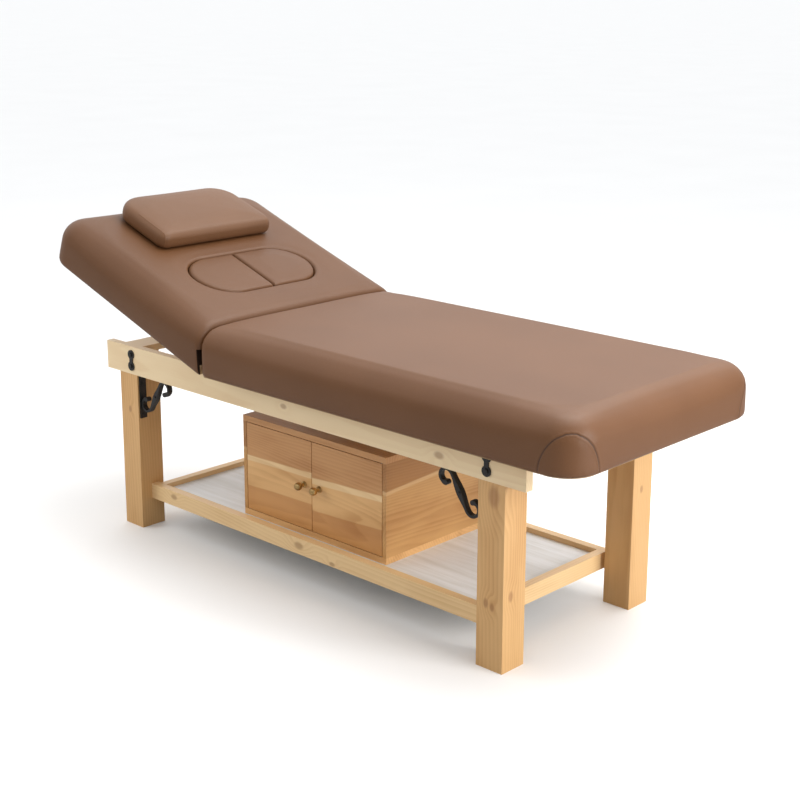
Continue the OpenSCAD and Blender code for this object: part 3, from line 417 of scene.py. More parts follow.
def oak(name, along, levels, slope, origin, pith, ring=0.009, bend=0.14, figure=0.3):
    """Oak with planks drawn over it. Their colour is the pale wood, and a browner copy the dark wood."""
    material = wood(name, along, OAK_GOLD, OAK_BROWN, pith, ring=ring, bend=bend, figure=figure, mottle=0.5,
                    roughness=0.42)
    tree = material.node_tree
    shader = tree.nodes["Principled BSDF"]
    mixed = shader.inputs["Base Color"].links[0].from_node
    pale = planks(tree, along, slope, origin, levels)
    tree.links.new(pale, mixed.inputs[MIX_A])
    tree.links.new(mix_colour(tree, 1.0, pale, FIGURE_TINT, "MULTIPLY"), mixed.inputs[MIX_B])
    return material


paint(oak("oak_door_left", "x", [(0, OAK_LOW), (0.190, OAK_GOLD), (0.259, OAK_PALE), (0.274, OAK_BROWN)],
          0.026, -0.28, (0, 0.02, 0.16)), "door_left")
paint(oak("oak_door_right", "x", [(0, OAK_LOW), (0.182, OAK_GOLD), (0.253, OAK_PALE), (0.269, OAK_BROWN)],
          0.05, -0.02, (0, 0.0, 0.15)), "door_right")
# The sides' top band is partly plank colour and partly painted shadow of the bed.
SIDE_LEVELS = [(0, SIDE_GOLD), (0.284, SIDE_PALE), (0.293, SIDE_PLANK_AND_BED_SHADOW)]
paint(oak("oak_sides", "y", SIDE_LEVELS, 0.05, -0.19, (0.30, 0, 0.10)),
      "cabinet_side_left", "cabinet_side_right")
paint(oak("oak_panels", "x", [(0, OAK_GOLD), (0.3, OAK_BROWN)], 0.0, 0.0, (0, 0.3, 0.30)),
      "cabinet_top", "cabinet_bottom", "cabinet_back")

# %% [markdown]
# ## Plywood, laminate, iron, steel and brass
# None of these is one flat colour either. Plywood shows its layers at the edge. The laminate has
# faint limed streaks. Forged iron is mottled and a little dented, zinc has a dull bloom, and old
# brass is darker where hands don't polish it.

# %% Sheet goods
def laminate():
    material, tree, shader = new_material("laminate_grey", 0.40)
    streaks = cloudy(tree, object_point(tree, (0.30, 5, 1)), 9.0, 4.0)
    fine = cloudy(tree, object_point(tree, (0.4, 10, 1)), 45.0, 3.0)
    share = maths(tree, "ADD", maths(tree, "MULTIPLY", streaks, 0.7), maths(tree, "MULTIPLY", fine, 0.3))
    two_colours(tree, shader, soft_step(tree, share, 0.35, 0.65), (0.68, 0.69, 0.68), (0.82, 0.84, 0.86))
    vary_roughness(tree, shader, fine, 0.2, 0.3)
    raise_surface(tree, shader, fine, 0.1 * MM, 0.25)
    return material


PLY = 3.6 * MM


def plywood():
    material, tree, shader = new_material("plywood", 0.7)
    height = add_node(tree, "ShaderNodeSeparateXYZ", {0: object_point(tree)}).outputs[2]
    layers = maths(tree, "FRACT", maths(tree, "DIVIDE", height, PLY))
    fibres = cloudy(tree, object_point(tree, (0.05, 1, 1)), 260.0, 3.0)
    share = maths(tree, "ADD", maths(tree, "MULTIPLY", soft_step(tree, layers, 0.4, 0.6), 0.5),
                  maths(tree, "MULTIPLY", fibres, 0.5))
    two_colours(tree, shader, share, (0.50, 0.34, 0.19), (0.30, 0.18, 0.09))
    raise_surface(tree, shader, fibres, 0.2 * MM, 0.4)
    return material


paint(laminate(), "shelf_board")
paint(plywood(), "seat_board", "backrest_board")

# %% [markdown]
# ## Metals
# The ironwork is black and nearly matt. Zinc and brass share one recipe with other colours: worn
# and clean spots, and a gloss that changes between them.

# %% Metals
def forged_iron():
    material, tree, shader = new_material("iron_black", 0.45, 0.3)
    mottle = cloudy(tree, object_point(tree), 90.0, 4.0)
    two_colours(tree, shader, mottle, (0.010, 0.010, 0.011), (0.032, 0.030, 0.030))
    vary_roughness(tree, shader, mottle, 0.35, 0.28)
    raise_surface(tree, shader, cloudy(tree, object_point(tree), 150.0, 3.0), 0.6 * MM, 0.6)
    return material


def metal(name, worn, clean, roughness, scale):
    material, tree, shader = new_material(name, roughness, 1.0)
    blotches = cloudy(tree, object_point(tree), scale, 5.0, 0.6)
    two_colours(tree, shader, soft_step(tree, blotches, 0.35, 0.65), worn, clean)
    vary_roughness(tree, shader, blotches, 0.25, roughness - 0.12)
    raise_surface(tree, shader, blotches, 0.2 * MM, 0.2)
    return material


def friction_fibre():
    material, tree, shader = new_material("fibre_red", 0.8)
    specks = cloudy(tree, object_point(tree), 700.0, 2.0)
    two_colours(tree, shader, specks, (0.16, 0.05, 0.03), (0.28, 0.10, 0.06))
    raise_surface(tree, shader, specks, 0.1 * MM, 0.4)
    return material


paint(forged_iron(), "strap_*", "scroll_*", "bracket_screws")
paint(metal("steel_zinc", (0.54, 0.54, 0.53), (0.60, 0.60, 0.60), 0.36, 40.0),
      "hinge_*", "backrest_screws", "knob_screw_*", "strike_*", "door_pivots_*", "cabinet_catches")
paint(friction_fibre(), "hinge_washers")
paint(metal("brass_old", (0.32, 0.19, 0.070), (0.62, 0.42, 0.18), 0.32, 50.0), "knob_left", "knob_right")
bare = [n for n in nodes if not nodes[n].data.materials]
print(len(bpy.data.materials), "materials so far; nodes without a material:", bare)

# %% [markdown]
# ## The cover
# The padding wears a soft, taupe-brown imitation leather. What the eye reads is a satin sheen, a
# very fine pebble grain and a tone that drifts a little over a hand's width. Voronoi cells give
# the pebbles and slow noise gives the drift. Where a seam runs, an attribute called seam, which is
# written to the mesh later, turns the cover to a dark thread colour that is also painted shade in
# the seam's groove. The backrest's cover, which the plugs share, is painted a shade darker: painted
# shade for a section that faces away from the key lamp. The pillow's is a shade lighter, and the
# walls of the slits at the fold get a black-brown cover that is painted shade.

# %% Cover
def imitation_leather(name, pale, dark, thread_and_shade):
    material, tree, shader = new_material(name, 0.45)
    point = object_point(tree)
    drift = cloudy(tree, point, 4.0, 3.0)
    specks = cloudy(tree, point, 420.0, 2.0)
    share = maths(tree, "ADD", maths(tree, "MULTIPLY", drift, 0.65), maths(tree, "MULTIPLY", specks, 0.35))
    colour = mix_colour(tree, soft_step(tree, share, 0.3, 0.7), dark, pale)
    # Along a seam the colour turns to the thread colour: dark thread, and painted shade in the seam's
    # groove.
    seam = add_node(tree, "ShaderNodeAttribute", attribute_name="seam").outputs["Fac"]
    two_colours(tree, shader, seam, colour, thread_and_shade)
    noise = add_node(tree, "ShaderNodeTexNoise", {"Vector": point, "Scale": 300.0, "Detail": 2.0})
    wobble = vector_maths(tree, "MULTIPLY", noise.outputs["Color"], (1.6 * MM,) * 3)
    wobbly_point = vector_maths(tree, "ADD", point, wobble)
    cells = add_node(tree, "ShaderNodeTexVoronoi", {"Vector": wobbly_point, "Scale": 620.0},
                     feature="DISTANCE_TO_EDGE").outputs["Distance"]
    pebbles = soft_step(tree, cells, 0.0, 0.28)
    soft = maths(tree, "MULTIPLY", cloudy(tree, point, 14.0, 3.0), 3.0)
    raise_surface(tree, shader, maths(tree, "ADD", pebbles, soft), 0.3 * MM, 0.25)
    vary_roughness(tree, shader, pebbles, -0.08, 0.50)
    shader.inputs["Specular IOR Level"].default_value = 0.4
    return material


# Seam colour: dark thread, and painted shade in the seam's groove.
SEAM_THREAD_AND_SHADE = (0.055, 0.026, 0.014)
# Near-black colours for the slits' walls: painted shade in the slit.
SLIT_SHADE_PALE, SLIT_SHADE_DEEP = (0.030, 0.016, 0.010), (0.022, 0.012, 0.008)
cover = imitation_leather("cover_taupe", (0.146, 0.061, 0.022), (0.126, 0.051, 0.017), SEAM_THREAD_AND_SHADE)
# The backrest's cover is the seat's leather painted darker: painted shade, as it faces away from the key
# lamp.
shaded_back_cover = imitation_leather("cover_backrest_painted_shade", (0.130, 0.054, 0.019), (0.112, 0.045, 0.015), SEAM_THREAD_AND_SHADE)
slit_shade = imitation_leather("slit_painted_shade", SLIT_SHADE_PALE, SLIT_SHADE_DEEP, SEAM_THREAD_AND_SHADE)
pillow_cover = imitation_leather("cover_pillow", (0.160, 0.073, 0.031), (0.138, 0.062, 0.026), SEAM_THREAD_AND_SHADE)

# %% [markdown]
# ## Softer edges
# No wooden edge is as sharp as in a CAD model: sandpaper takes about a millimetre off, and that
# narrow strip catches the light. A bevel modifier does it, after a weld, because the loaded
# triangles don't share their points. The turned knobs get a subdivision, so that they look round.

# %% Edges
SANDED = 1.2 * MM
SANDED_FROM = math.radians(50)
WOODEN = ("leg_", "side_rail_", "head_rail", "foot_rail", "lower_rail_", "cabinet_top", "cabinet_side_",
          "door_left", "door_right")


def weld(node):
    joined = node.modifiers.new("weld", "WELD")
    joined.merge_threshold = NEAR


for name, node in nodes.items():
    if name in ("knob_left", "knob_right"):
        weld(node)
        rounder = node.modifiers.new("rounder", "SUBSURF")
        rounder.levels = rounder.render_levels = 1
    elif name.startswith(WOODEN):
        weld(node)
        sanded = node.modifiers.new("sanded", "BEVEL")
        sanded.width, sanded.segments = SANDED, 2
        sanded.limit_method, sanded.angle_limit = "ANGLE", SANDED_FROM
        sanded.use_clamp_overlap = True
print("sanded:", [name for name, node in nodes.items() if "sanded" in node.modifiers])

# %% [markdown]
# ## Helpers for modelling
# Blender's operators act on what is selected. The frame arrives with all its nodes selected, so
# each new piece starts by clearing the selection. Edges are then picked by where they lie, which
# is what a hand would do with the mouse. A block is shaped in edit mode, so its place is in its
# mesh and its object stays at the origin.

# %% Modelling helpers
def start_block(name, low, high):
    """Adds a cube between two corners and leaves it in edit mode."""
    bpy.ops.object.select_all(action="DESELECT")
    bpy.ops.mesh.primitive_cube_add(size=1)
    piece = bpy.context.object
    piece.name = piece.data.name = name
    bpy.ops.object.mode_set(mode="EDIT")
    bpy.ops.transform.resize(value=Vector(high) - Vector(low))
    bpy.ops.transform.translate(value=(Vector(low) + Vector(high)) / 2)
    return piece


def pick_edges(piece, wanted):
    """In edit mode, selects the edges whose two ends, a and b, pass the test."""
    bpy.ops.mesh.select_mode(type="EDGE")
    bpy.ops.mesh.select_all(action="DESELECT")
    mesh = bmesh.from_edit_mesh(piece.data)
    for edge in mesh.edges:
        edge.select_set(wanted(*(v.co for v in edge.verts)))
    bmesh.update_edit_mesh(piece.data)


def pick_faces(piece, wanted):
    """In edit mode, selects the faces whose middle passes the test."""
    bpy.ops.mesh.select_mode(type="FACE")
    bpy.ops.mesh.select_all(action="DESELECT")
    mesh = bmesh.from_edit_mesh(piece.data)
    for face in mesh.faces:
        face.select_set(wanted(face.calc_center_median()))
    bmesh.update_edit_mesh(piece.data)


UPRIGHT_FROM = 10 * MM


def upright(a, b):
    return abs(a.z - b.z) > UPRIGHT_FROM and abs(a.y - b.y) < NEAR

# %% [markdown]
# ## Rounding and cutting
# A bevel with several segments rounds the edges that are selected. A boolean modifier takes one
# shape out of another, and applying it makes the cut final.

# %% Rounding and cutting
def round_edges(radius, segments):
    bpy.ops.mesh.bevel(offset=radius, segments=segments, affect="EDGES")


def make_active(piece):
    bpy.ops.object.select_all(action="DESELECT")
    piece.select_set(True)
    bpy.context.view_layer.objects.active = piece


def apply_modifiers(piece):
    make_active(piece)
    for name in [m.name for m in piece.modifiers]:
        bpy.ops.object.modifier_apply(modifier=name)


def cut_away(piece, cutter):
    """Takes the cutter's space out of the piece, then deletes the cutter."""
    cut = piece.modifiers.new("cut", "BOOLEAN")
    cut.operation = "DIFFERENCE"
    cut.solver = "MANIFOLD"
    cut.object = cutter
    apply_modifiers(piece)
    bpy.data.objects.remove(cutter)

# %% [markdown]
# ## Stuffing a cushion
# A cover pulled over foam is never quite flat: the foam pushes out and the cloth holds it back.
# A cloth simulation with air pressure gives that. The block is first remeshed into even squares,
# because cloth bends evenly only on even squares. The points near the board are held still, as
# staples hold them, and no point may move further than a cap, so the cushion keeps its size.
# A stopped simulation still trembles, and foam doesn't, so each point's move is averaged with
# those of its neighbours before it is used.

# %% Stuffing
CLOTH_FRAMES = 12
AVERAGING = 80


def stuff(piece, voxel, cap, held, pressure=3.0, evening=4):
    """Remeshes the piece, then swells it like a cushion where it isn't held."""
    remesh = piece.modifiers.new("squares", "REMESH")
    remesh.mode = "VOXEL"
    remesh.voxel_size = voxel
    even = piece.modifiers.new("even", "SMOOTH")
    even.factor, even.iterations = 0.5, evening
    apply_modifiers(piece)
    swell(piece, cap, [held(v.co) for v in piece.data.vertices], pressure)
    make_active(piece)
    bpy.ops.object.shade_smooth()
    print(piece.name, "has", len(piece.data.polygons), "faces")


def places(piece):
    """All points of the piece as rows of numbers."""
    return np.array([v.co for v in piece.data.vertices])


def averaged(moves, edges, held):
    """Each point's move, averaged again and again with its neighbours' moves."""
    ends = np.concatenate([edges, edges[:, ::-1]])
    neighbours = np.bincount(ends[:, 0], minlength=len(moves))[:, None]
    for _ in range(AVERAGING):
        sums = [np.bincount(ends[:, 0], moves[ends[:, 1], i], len(moves)) for i in range(3)]
        total = np.stack(sums, axis=1)
        moves = (moves + total / neighbours) / 2
        moves[held] = 0
    return moves


def swell(piece, cap, held, pressure):
    """Runs the cloth, then keeps its averaged and capped moves."""
    start = places(piece)
    edges = np.array([e.vertices for e in piece.data.edges])
    staples = piece.vertex_groups.new(name="staples")
    staples.add([i for i, fixed in enumerate(held) if fixed], 1.0, "REPLACE")
    cloth = piece.modifiers.new("cloth", "CLOTH")
    feel = cloth.settings
    feel.quality = 3
    feel.mass = 0.25
    feel.air_damping = 3
    feel.tension_stiffness = feel.compression_stiffness = 14
    feel.shear_stiffness = 6
    feel.bending_stiffness = 0.8
    feel.use_pressure = True
    feel.uniform_pressure_force = pressure
    feel.effector_weights.gravity = 0
    feel.vertex_group_mass = staples.name
    cloth.point_cache.frame_start, cloth.point_cache.frame_end = 1, CLOTH_FRAMES
    for step in range(1, CLOTH_FRAMES + 1):
        bpy.context.scene.frame_set(step)
    apply_modifiers(piece)
    bpy.context.scene.frame_set(1)
    moves = averaged(places(piece) - start, edges, np.array(held))
    length = np.linalg.norm(moves, axis=1, keepdims=True)
    moves *= np.minimum(1, cap / np.maximum(length, NEAR))
    piece.data.vertices.foreach_set("co", (start + moves).ravel())
    piece.data.update()
    piece.vertex_groups.clear()
    print(piece.name, "moved by up to", round(float(length.max()) / MM, 1), "mm before the cap")

# %% [markdown]
# ## The seat's padding
# The long section is foam on a board, wrapped in its cover. Its long edges and its foot end are
# rolled over, its foot corners are rounded, and the end at the fold is cut square, so that the two
# sections meet in one tight line. By hand that is a cube and four bevels: the upright corners, the
# rolled edge, the small edge round the fold's face and the lower edge. It starts a few millimetres
# small, because the stuffing swells it.

# %% Seat block
CORNER_R, ROLL_R, FOLD_R, LOWER_R = 80 * MM, 55 * MM, 11 * MM, 10 * MM
CORNER_STEPS, ROLL_STEPS, FOLD_STEPS, LOWER_STEPS = 10, 8, 4, 3
SIDE_SWELL, TOP_SWELL = 4 * MM, 6 * MM


def round_block(piece, low, high, at_fold):
    """Rounds the far corners, the upper edge, the edge round the fold's face and the lower edge."""
    pick_edges(piece, lambda a, b: upright(a, b) and not at_fold(a))
    round_edges(CORNER_R, CORNER_STEPS)
    pick_edges(piece, lambda a, b: min(a.z, b.z) > high.z - NEAR and not (at_fold(a) and at_fold(b)))
    round_edges(ROLL_R, ROLL_STEPS)
    pick_edges(piece, lambda a, b: at_fold(a) and at_fold(b) and max(a.z, b.z) > low.z + NEAR)
    round_edges(FOLD_R, FOLD_STEPS)
    pick_edges(piece, lambda a, b: max(a.z, b.z) < low.z + NEAR)
    round_edges(LOWER_R, LOWER_STEPS)
    bpy.ops.object.mode_set(mode="OBJECT")


seat_low, seat_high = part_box("seat_mattress")
block_low = seat_low + Vector((0, SIDE_SWELL, 0))
block_high = seat_high - Vector((SIDE_SWELL, SIDE_SWELL, TOP_SWELL))
seat = start_block("seat_cover", block_low, block_high)
round_block(seat, block_low, block_high, lambda p: p.x < block_low.x + NEAR)
seat.data.materials.append(cover)
print("seat block:", len(seat.data.polygons), "faces")

# %% [markdown]
# ## Stuffing the seat
# The staples run along the lower edge. The lower part of the fold's face is held as well, because
# the other section presses against it.

# %% Seat stuffing
SEAT_SQUARES = 7 * MM
STAPLED = 12 * MM
FOLD_HELD = 30 * MM

stuff(seat, SEAT_SQUARES, TOP_SWELL,
      lambda p: p.z < seat_low.z + STAPLED
      or (p.x < seat_low.x + LOWER_R and p.z < seat_high.z - FOLD_HELD))

# %% [markdown]
# ## Room for the board and the hinges
# The board sits in the padding's underside, with the cover wrapped round its edges, and each hinge
# arm has a pocket at the fold. Both are cut with simple blocks, a little larger than what goes in.

# %% Board pocket
BOARD_FIT = 0.4 * MM
BOARD_CORNER_R = 69 * MM
OVERCUT = 20 * MM


def board_pocket(piece, node_low, node_high, corner_side):
    """Cuts a board's shape out of the underside. corner_side is 1 or -1: the end with round corners."""
    grow = Vector((BOARD_FIT, BOARD_FIT, BOARD_FIT))
    cutter = start_block("board_cutter", node_low - grow - Vector((0, 0, OVERCUT)), node_high + grow)
    middle = (node_low.x + node_high.x) / 2
    pick_edges(cutter, lambda a, b: upright(a, b) and (a.x - middle) * corner_side > 0)
    round_edges(BOARD_CORNER_R, CORNER_STEPS)
    bpy.ops.object.mode_set(mode="OBJECT")
    cut_away(piece, cutter)


board_low, board_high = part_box("seat_board")
board_pocket(seat, board_low, board_high, 1)

# %% [markdown]
# ## Hinge pockets
# The hinge's arms stand in the fold. The axis runs through the middle of the pins, and everything
# on the backrest is measured from it.

# %% Hinge pockets
HINGE_REACH = 24 * MM
PIN_ROOM, ARM_OVERLAP = 2 * MM, 9 * MM
arm_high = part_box("hinge_moving_arm_front")[1]
pin_low, pin_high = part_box("hinge_pins")
fixed_low, fixed_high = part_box("hinge_fixed_arm_front")
HINGE = Vector(((fixed_low.x + fixed_high.x) / 2, 0, (pin_low.z + pin_high.z) / 2))
print("hinge axis at x", round(HINGE.x, 4), "z", round(HINGE.z, 4))


def hinge_pockets(piece):
    for side in (-1, 1):
        ends = sorted((side * (pin_high.y + PIN_ROOM), side * (abs(arm_high.y) - ARM_OVERLAP)))
        low = Vector((HINGE.x - HINGE_REACH, ends[0], seat_low.z - OVERCUT))
        high = Vector((HINGE.x + HINGE_REACH, ends[1], HINGE.z + HINGE_REACH))
        cutter = start_block("hinge_cutter", low, high)
        bpy.ops.object.mode_set(mode="OBJECT")
        cut_away(piece, cutter)


hinge_pockets(seat)

# %% [markdown]
# ## Seams
# The cover's foot corners are sewn in: an arched panel closes each round corner, from the lower
# edge up and down again. The two layers meet in a narrow groove. The mesh is cut finer along the
# line, the groove is pressed in, and the depth is kept as an attribute that the cover reads: it
# turns the groove to the thread colour, which is also painted shade in the groove. A thin tube
# could stand for the thread, but a groove is what the eye sees from a metre away.

# %% Sewing helper
FINE_REACH, FINE_CUTS = 13 * MM, 3
GROOVE_HALF = 1.8 * MM
# These four are in half widths of the groove.
SEAM_REACH, LIP_AT, LIP_SPREAD, THREAD_SHARP = 6, 2.4, 1.6, 1.3


def on_surface(piece, point):
    return piece.closest_point_on_mesh(point)[1]


def dense(path, spacing=0.5 * MM):
    """The points of a path, filled in to a close spacing."""
    filled = []
    for a, b in zip(path[:-1], path[1:]):
        steps = max(1, round((b - a).length / spacing))
        filled += [a.lerp(b, i / steps) for i in range(steps)]
    return filled + [path[-1]]


def tree_of(points):
    tree = KDTree(len(points))
    for i, point in enumerate(points):
        tree.insert(point, i)
    tree.balance()
    return tree


def refine_near(piece, tree):
    """Subdivides the faces that lie near a path."""
    make_active(piece)
    bpy.ops.object.mode_set(mode="EDIT")
    pick_faces(piece, lambda middle: tree.find(middle)[2] < FINE_REACH)
    bpy.ops.mesh.subdivide(number_cuts=FINE_CUTS, smoothness=0.0)
    bpy.ops.object.mode_set(mode="OBJECT")


def seam_values(piece):
    values = piece.data.attributes.get("seam")
    return values or piece.data.attributes.new("seam", "FLOAT", "POINT")


def sew(piece, path, depth, rise, thread_and_shade=1.0):
    """Presses a seam's groove along a path on the surface, between two slightly raised lips."""
    path = [on_surface(piece, p) for p in path]
    tree = tree_of(dense(path))
    refine_near(piece, tree)
    values = seam_values(piece)
    normals = [v.normal.copy() for v in piece.data.vertices]
    for point, normal, value in zip(piece.data.vertices, normals, values.data):
        away = tree.find(point.co)[2] / GROOVE_HALF
        if away < SEAM_REACH:
            groove = math.exp(-away ** 2)
            lips = math.exp(-(away - LIP_AT) ** 2 / LIP_SPREAD)
            point.co += normal * (rise * lips - depth * groove)
            # The seam value paints the thread colour here: thread, and painted shade in the groove.
            value.value = max(value.value, thread_and_shade * math.exp(-(away * THREAD_SHARP) ** 2))

# %% [markdown]
# ## The arched seams
# Each foot corner has one arch. Its ends stand on the side face and on the end face, and its top
# is on the corner. The curve is a superellipse, rounder than a circle at its shoulders.

# %% Corner seams of the seat
SEAM_CORNER_R = 82 * MM
ARCH_RISE = 97 * MM
ARCH_POWER = 1.7
SIDE_FOOT, END_FOOT = 15 * MM, 8 * MM
ARCH_STEPS = 36
GROOVE_DEPTH, LIP_RISE = 1.3 * MM, 0.5 * MM


def corner_arch(side):
    """Points of the arched seam on one foot corner, -1 or 1, from the side face to the end face."""
    centre = Vector((seat_high.x - SEAM_CORNER_R, side * (seat_high.y - SEAM_CORNER_R)))
    half_arc = SEAM_CORNER_R * math.pi / 4
    points = []
    for i in range(ARCH_STEPS + 1):
        t = 2 * i / ARCH_STEPS - 1
        reach = half_arc + (SIDE_FOOT if t < 0 else END_FOOT)
        along = t * reach
        rise = ARCH_RISE * (1 - abs(t) ** ARCH_POWER) ** (1 / ARCH_POWER)
        angle = max(-math.pi / 4, min(math.pi / 4, along / SEAM_CORNER_R)) - math.pi / 4
        past = abs(along) - half_arc
        place = centre + SEAM_CORNER_R * Vector((math.cos(angle), side * -math.sin(angle)))
        if past > 0:
            place += Vector((-past, 0)) if t < 0 else Vector((0, -side * past))
        points.append(Vector((place.x, place.y, seat_low.z + LOWER_R / 2 + rise)))
    return points


for side in (-1, 1):
    sew(seat, corner_arch(side), GROOVE_DEPTH, LIP_RISE)
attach(seat, "frame")
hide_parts("seat_mattress")
print("seat cover:", len(seat.data.polygons), "faces")

# %% [markdown]
# ## The backrest's padding
# The short section is made in the same way, lying flat, and is then turned about the hinge to its
# raised rest position. Its end at the fold is slanted, so that it stands upright against the seat
# once the backrest is raised.

# %% Backrest block
TILT = math.radians(19.2)
LENGTH = 681 * MM
HEAD_CLEAR = 2 * MM
THICKNESS = 130 * MM
AXIS_HEIGHT = 25.3 * MM
FOLD_CLEAR = 1 * MM
BACK_SQUARES = 6 * MM
under, over = HINGE.z - AXIS_HEIGHT, HINGE.z + THICKNESS - AXIS_HEIGHT


def fold_face(z):
    """Where the slanted end lies at height z of the flat backrest."""
    return HINGE.x - FOLD_CLEAR / math.cos(TILT) - (z - HINGE.z) * math.tan(TILT)


back_low = Vector((HINGE.x - LENGTH - HEAD_CLEAR + SIDE_SWELL, -seat_high.y + SIDE_SWELL, under))
back_high = Vector((HINGE.x, seat_high.y - SIDE_SWELL, over - TOP_SWELL))
back = start_block("backrest_cover", back_low, back_high)
mesh = bmesh.from_edit_mesh(back.data)
for point in mesh.verts:
    if point.co.x > HINGE.x - NEAR:
        point.co.x = fold_face(point.co.z)
bmesh.update_edit_mesh(back.data)
round_block(back, back_low, back_high, lambda p: p.x > fold_face(p.z) - NEAR)
# The darker cover is painted shade.
back.data.materials.append(shaded_back_cover)
stuff(back, BACK_SQUARES, TOP_SWELL,
      lambda p: p.z < under + STAPLED or (p.x > fold_face(p.z) - LOWER_R and p.z < over - FOLD_HELD))

# %% [markdown]
# ## The split oval
# An oval opening in the backrest leaves room for the face, and two soft plugs fill it. The cover
# dips a little towards the opening and rolls over its rim. So the surface is first pressed down
# near the rim, on a finer mesh, and the oval is cut afterwards. A bevel after the cut would break
# on so uneven an edge.

# %% Opening
OVAL_R, OVAL_LENGTH = 95 * MM, 395 * MM
OVAL_FROM_HINGE = 240 * MM
oval_x = HINGE.x - OVAL_FROM_HINGE
RIM_TOP = over - 2.0 * MM
RIM_R = 10 * MM
DIP_REACH = 45 * MM
RIM_MIDDLE, RIM_BAND = 3 * MM, 14 * MM
UPPER_HALF = HINGE.z + 50 * MM
OVAL_POINTS, OVAL_DEPTH = 96, 0.4


def past_oval(p):
    """Distance outside the oval's outline, seen from above; less than zero inside it."""
    straight = OVAL_LENGTH / 2 - OVAL_R
    y = max(0.0, abs(p.y) - straight)
    return math.hypot(p.x - oval_x, y) - OVAL_R


make_active(back)
bpy.ops.object.mode_set(mode="EDIT")
pick_faces(back, lambda m: m.z > UPPER_HALF and abs(past_oval(m) - RIM_MIDDLE) < RIM_BAND)
bpy.ops.mesh.subdivide(number_cuts=FINE_CUTS, smoothness=0.0)
bpy.ops.object.mode_set(mode="OBJECT")
for point in back.data.vertices:
    d = past_oval(point.co)
    if point.co.z > UPPER_HALF and d < DIP_REACH:
        share = max(0.0, min(1.0, (DIP_REACH - d) / (DIP_REACH - 1.5 * RIM_R)))
        share = share * share * (3 - 2 * share)
        point.co.z += (RIM_TOP - point.co.z) * share
        if d < RIM_R:
            inward = RIM_R - max(d, 0.0)
            point.co.z -= RIM_R - math.sqrt(RIM_R ** 2 - inward ** 2)
print("rim pressed down to z", round(RIM_TOP, 4), "on", len(back.data.polygons), "faces")

# %% [markdown]
# ## Cutting the oval
# A cylinder whose two halves are pulled apart has the opening's outline: two half circles and a
# straight piece between them. It is cut out of the padding and leaves a clean wall.

# %% Oval cut
bpy.ops.object.select_all(action="DESELECT")
bpy.ops.mesh.primitive_cylinder_add(vertices=OVAL_POINTS, radius=OVAL_R, depth=OVAL_DEPTH)
oval = bpy.context.object
bpy.ops.object.mode_set(mode="EDIT")
bpy.ops.transform.translate(value=(oval_x, 0, HINGE.z))
for side in (-1, 1):
    bpy.ops.mesh.select_mode(type="VERT")
    bpy.ops.mesh.select_all(action="DESELECT")
    mesh = bmesh.from_edit_mesh(oval.data)
    for v in mesh.verts:
        v.select_set(v.co.y * side > NEAR)
    bmesh.update_edit_mesh(oval.data)
    bpy.ops.transform.translate(value=(0, side * (OVAL_LENGTH / 2 - OVAL_R), 0))
bpy.ops.object.mode_set(mode="OBJECT")
cut_away(back, oval)
print("opening cut, backrest cover now has", len(back.data.polygons), "faces")

# %% [markdown]
# ## Raising the backrest
# The board's pocket is cut while the section lies flat. Then the whole section is turned about the
# hinge, as the real one is, and the hinge pockets are cut where it rests.

# %% Backrest pockets and tilt
HEAD_MARGIN, FOLD_MARGIN, PAST_FOLD = 13 * MM, 5 * MM, 60 * MM


def turn_to_rest(piece):
    """Turns a piece that lies flat about the hinge, to where the backrest rests."""
    make_active(piece)
    bpy.ops.object.mode_set(mode="EDIT")
    bpy.ops.mesh.select_all(action="SELECT")
    bpy.ops.transform.rotate(value=-TILT, orient_axis="Y", center_override=HINGE)
    bpy.ops.object.mode_set(mode="OBJECT")


board_thickness = board_high.z - board_low.z
flat_low = Vector((HINGE.x - LENGTH - HEAD_CLEAR + HEAD_MARGIN, board_low.y, under))
flat_high = Vector((HINGE.x - FOLD_MARGIN + PAST_FOLD, board_high.y, under + board_thickness))
board_pocket(back, flat_low, flat_high, -1)
turn_to_rest(back)
hinge_pockets(back)
print("backrest cover from", places(back).min(axis=0).round(3), "to", places(back).max(axis=0).round(3))

# %% [markdown]
# ## The slits at the fold
# Low on each side the two sections don't meet: a dark slit with a square top stands between them,
# narrower at its foot, so that the padding isn't pinched when the backrest lies flat. Its walls
# get a near-black cover, which is painted shade in the slit.

# %% Slit beside the fold
SLIT_WIDTH, SLIT_TOP, SLIT_DEPTH = 11 * MM, 583 * MM, 40 * MM
SLIT_FOOT, SLIT_TAPER = 440 * MM, 0.6
SLIT_PAST_FOLD = 100 * MM
SIDEWAYS = 0.7
SHARP_FROM = math.radians(45)
for side in (-1, 1):
    ends = sorted([side * (seat_high.y - SLIT_DEPTH), side * (seat_high.y + OVERCUT)])
    low = (HINGE.x - SLIT_WIDTH, ends[0], SLIT_FOOT)
    high = (HINGE.x + SLIT_PAST_FOLD, ends[1], SLIT_TOP)
    cutter = start_block("slit_cutter", low, high)
    mesh = bmesh.from_edit_mesh(cutter.data)
    for point in mesh.verts:
        if point.co.x < HINGE.x and point.co.z < SLIT_TOP - NEAR:
            point.co.x += SLIT_WIDTH * SLIT_TAPER
    bmesh.update_edit_mesh(cutter.data)
    bpy.ops.object.mode_set(mode="OBJECT")
    cut_away(back, cutter)
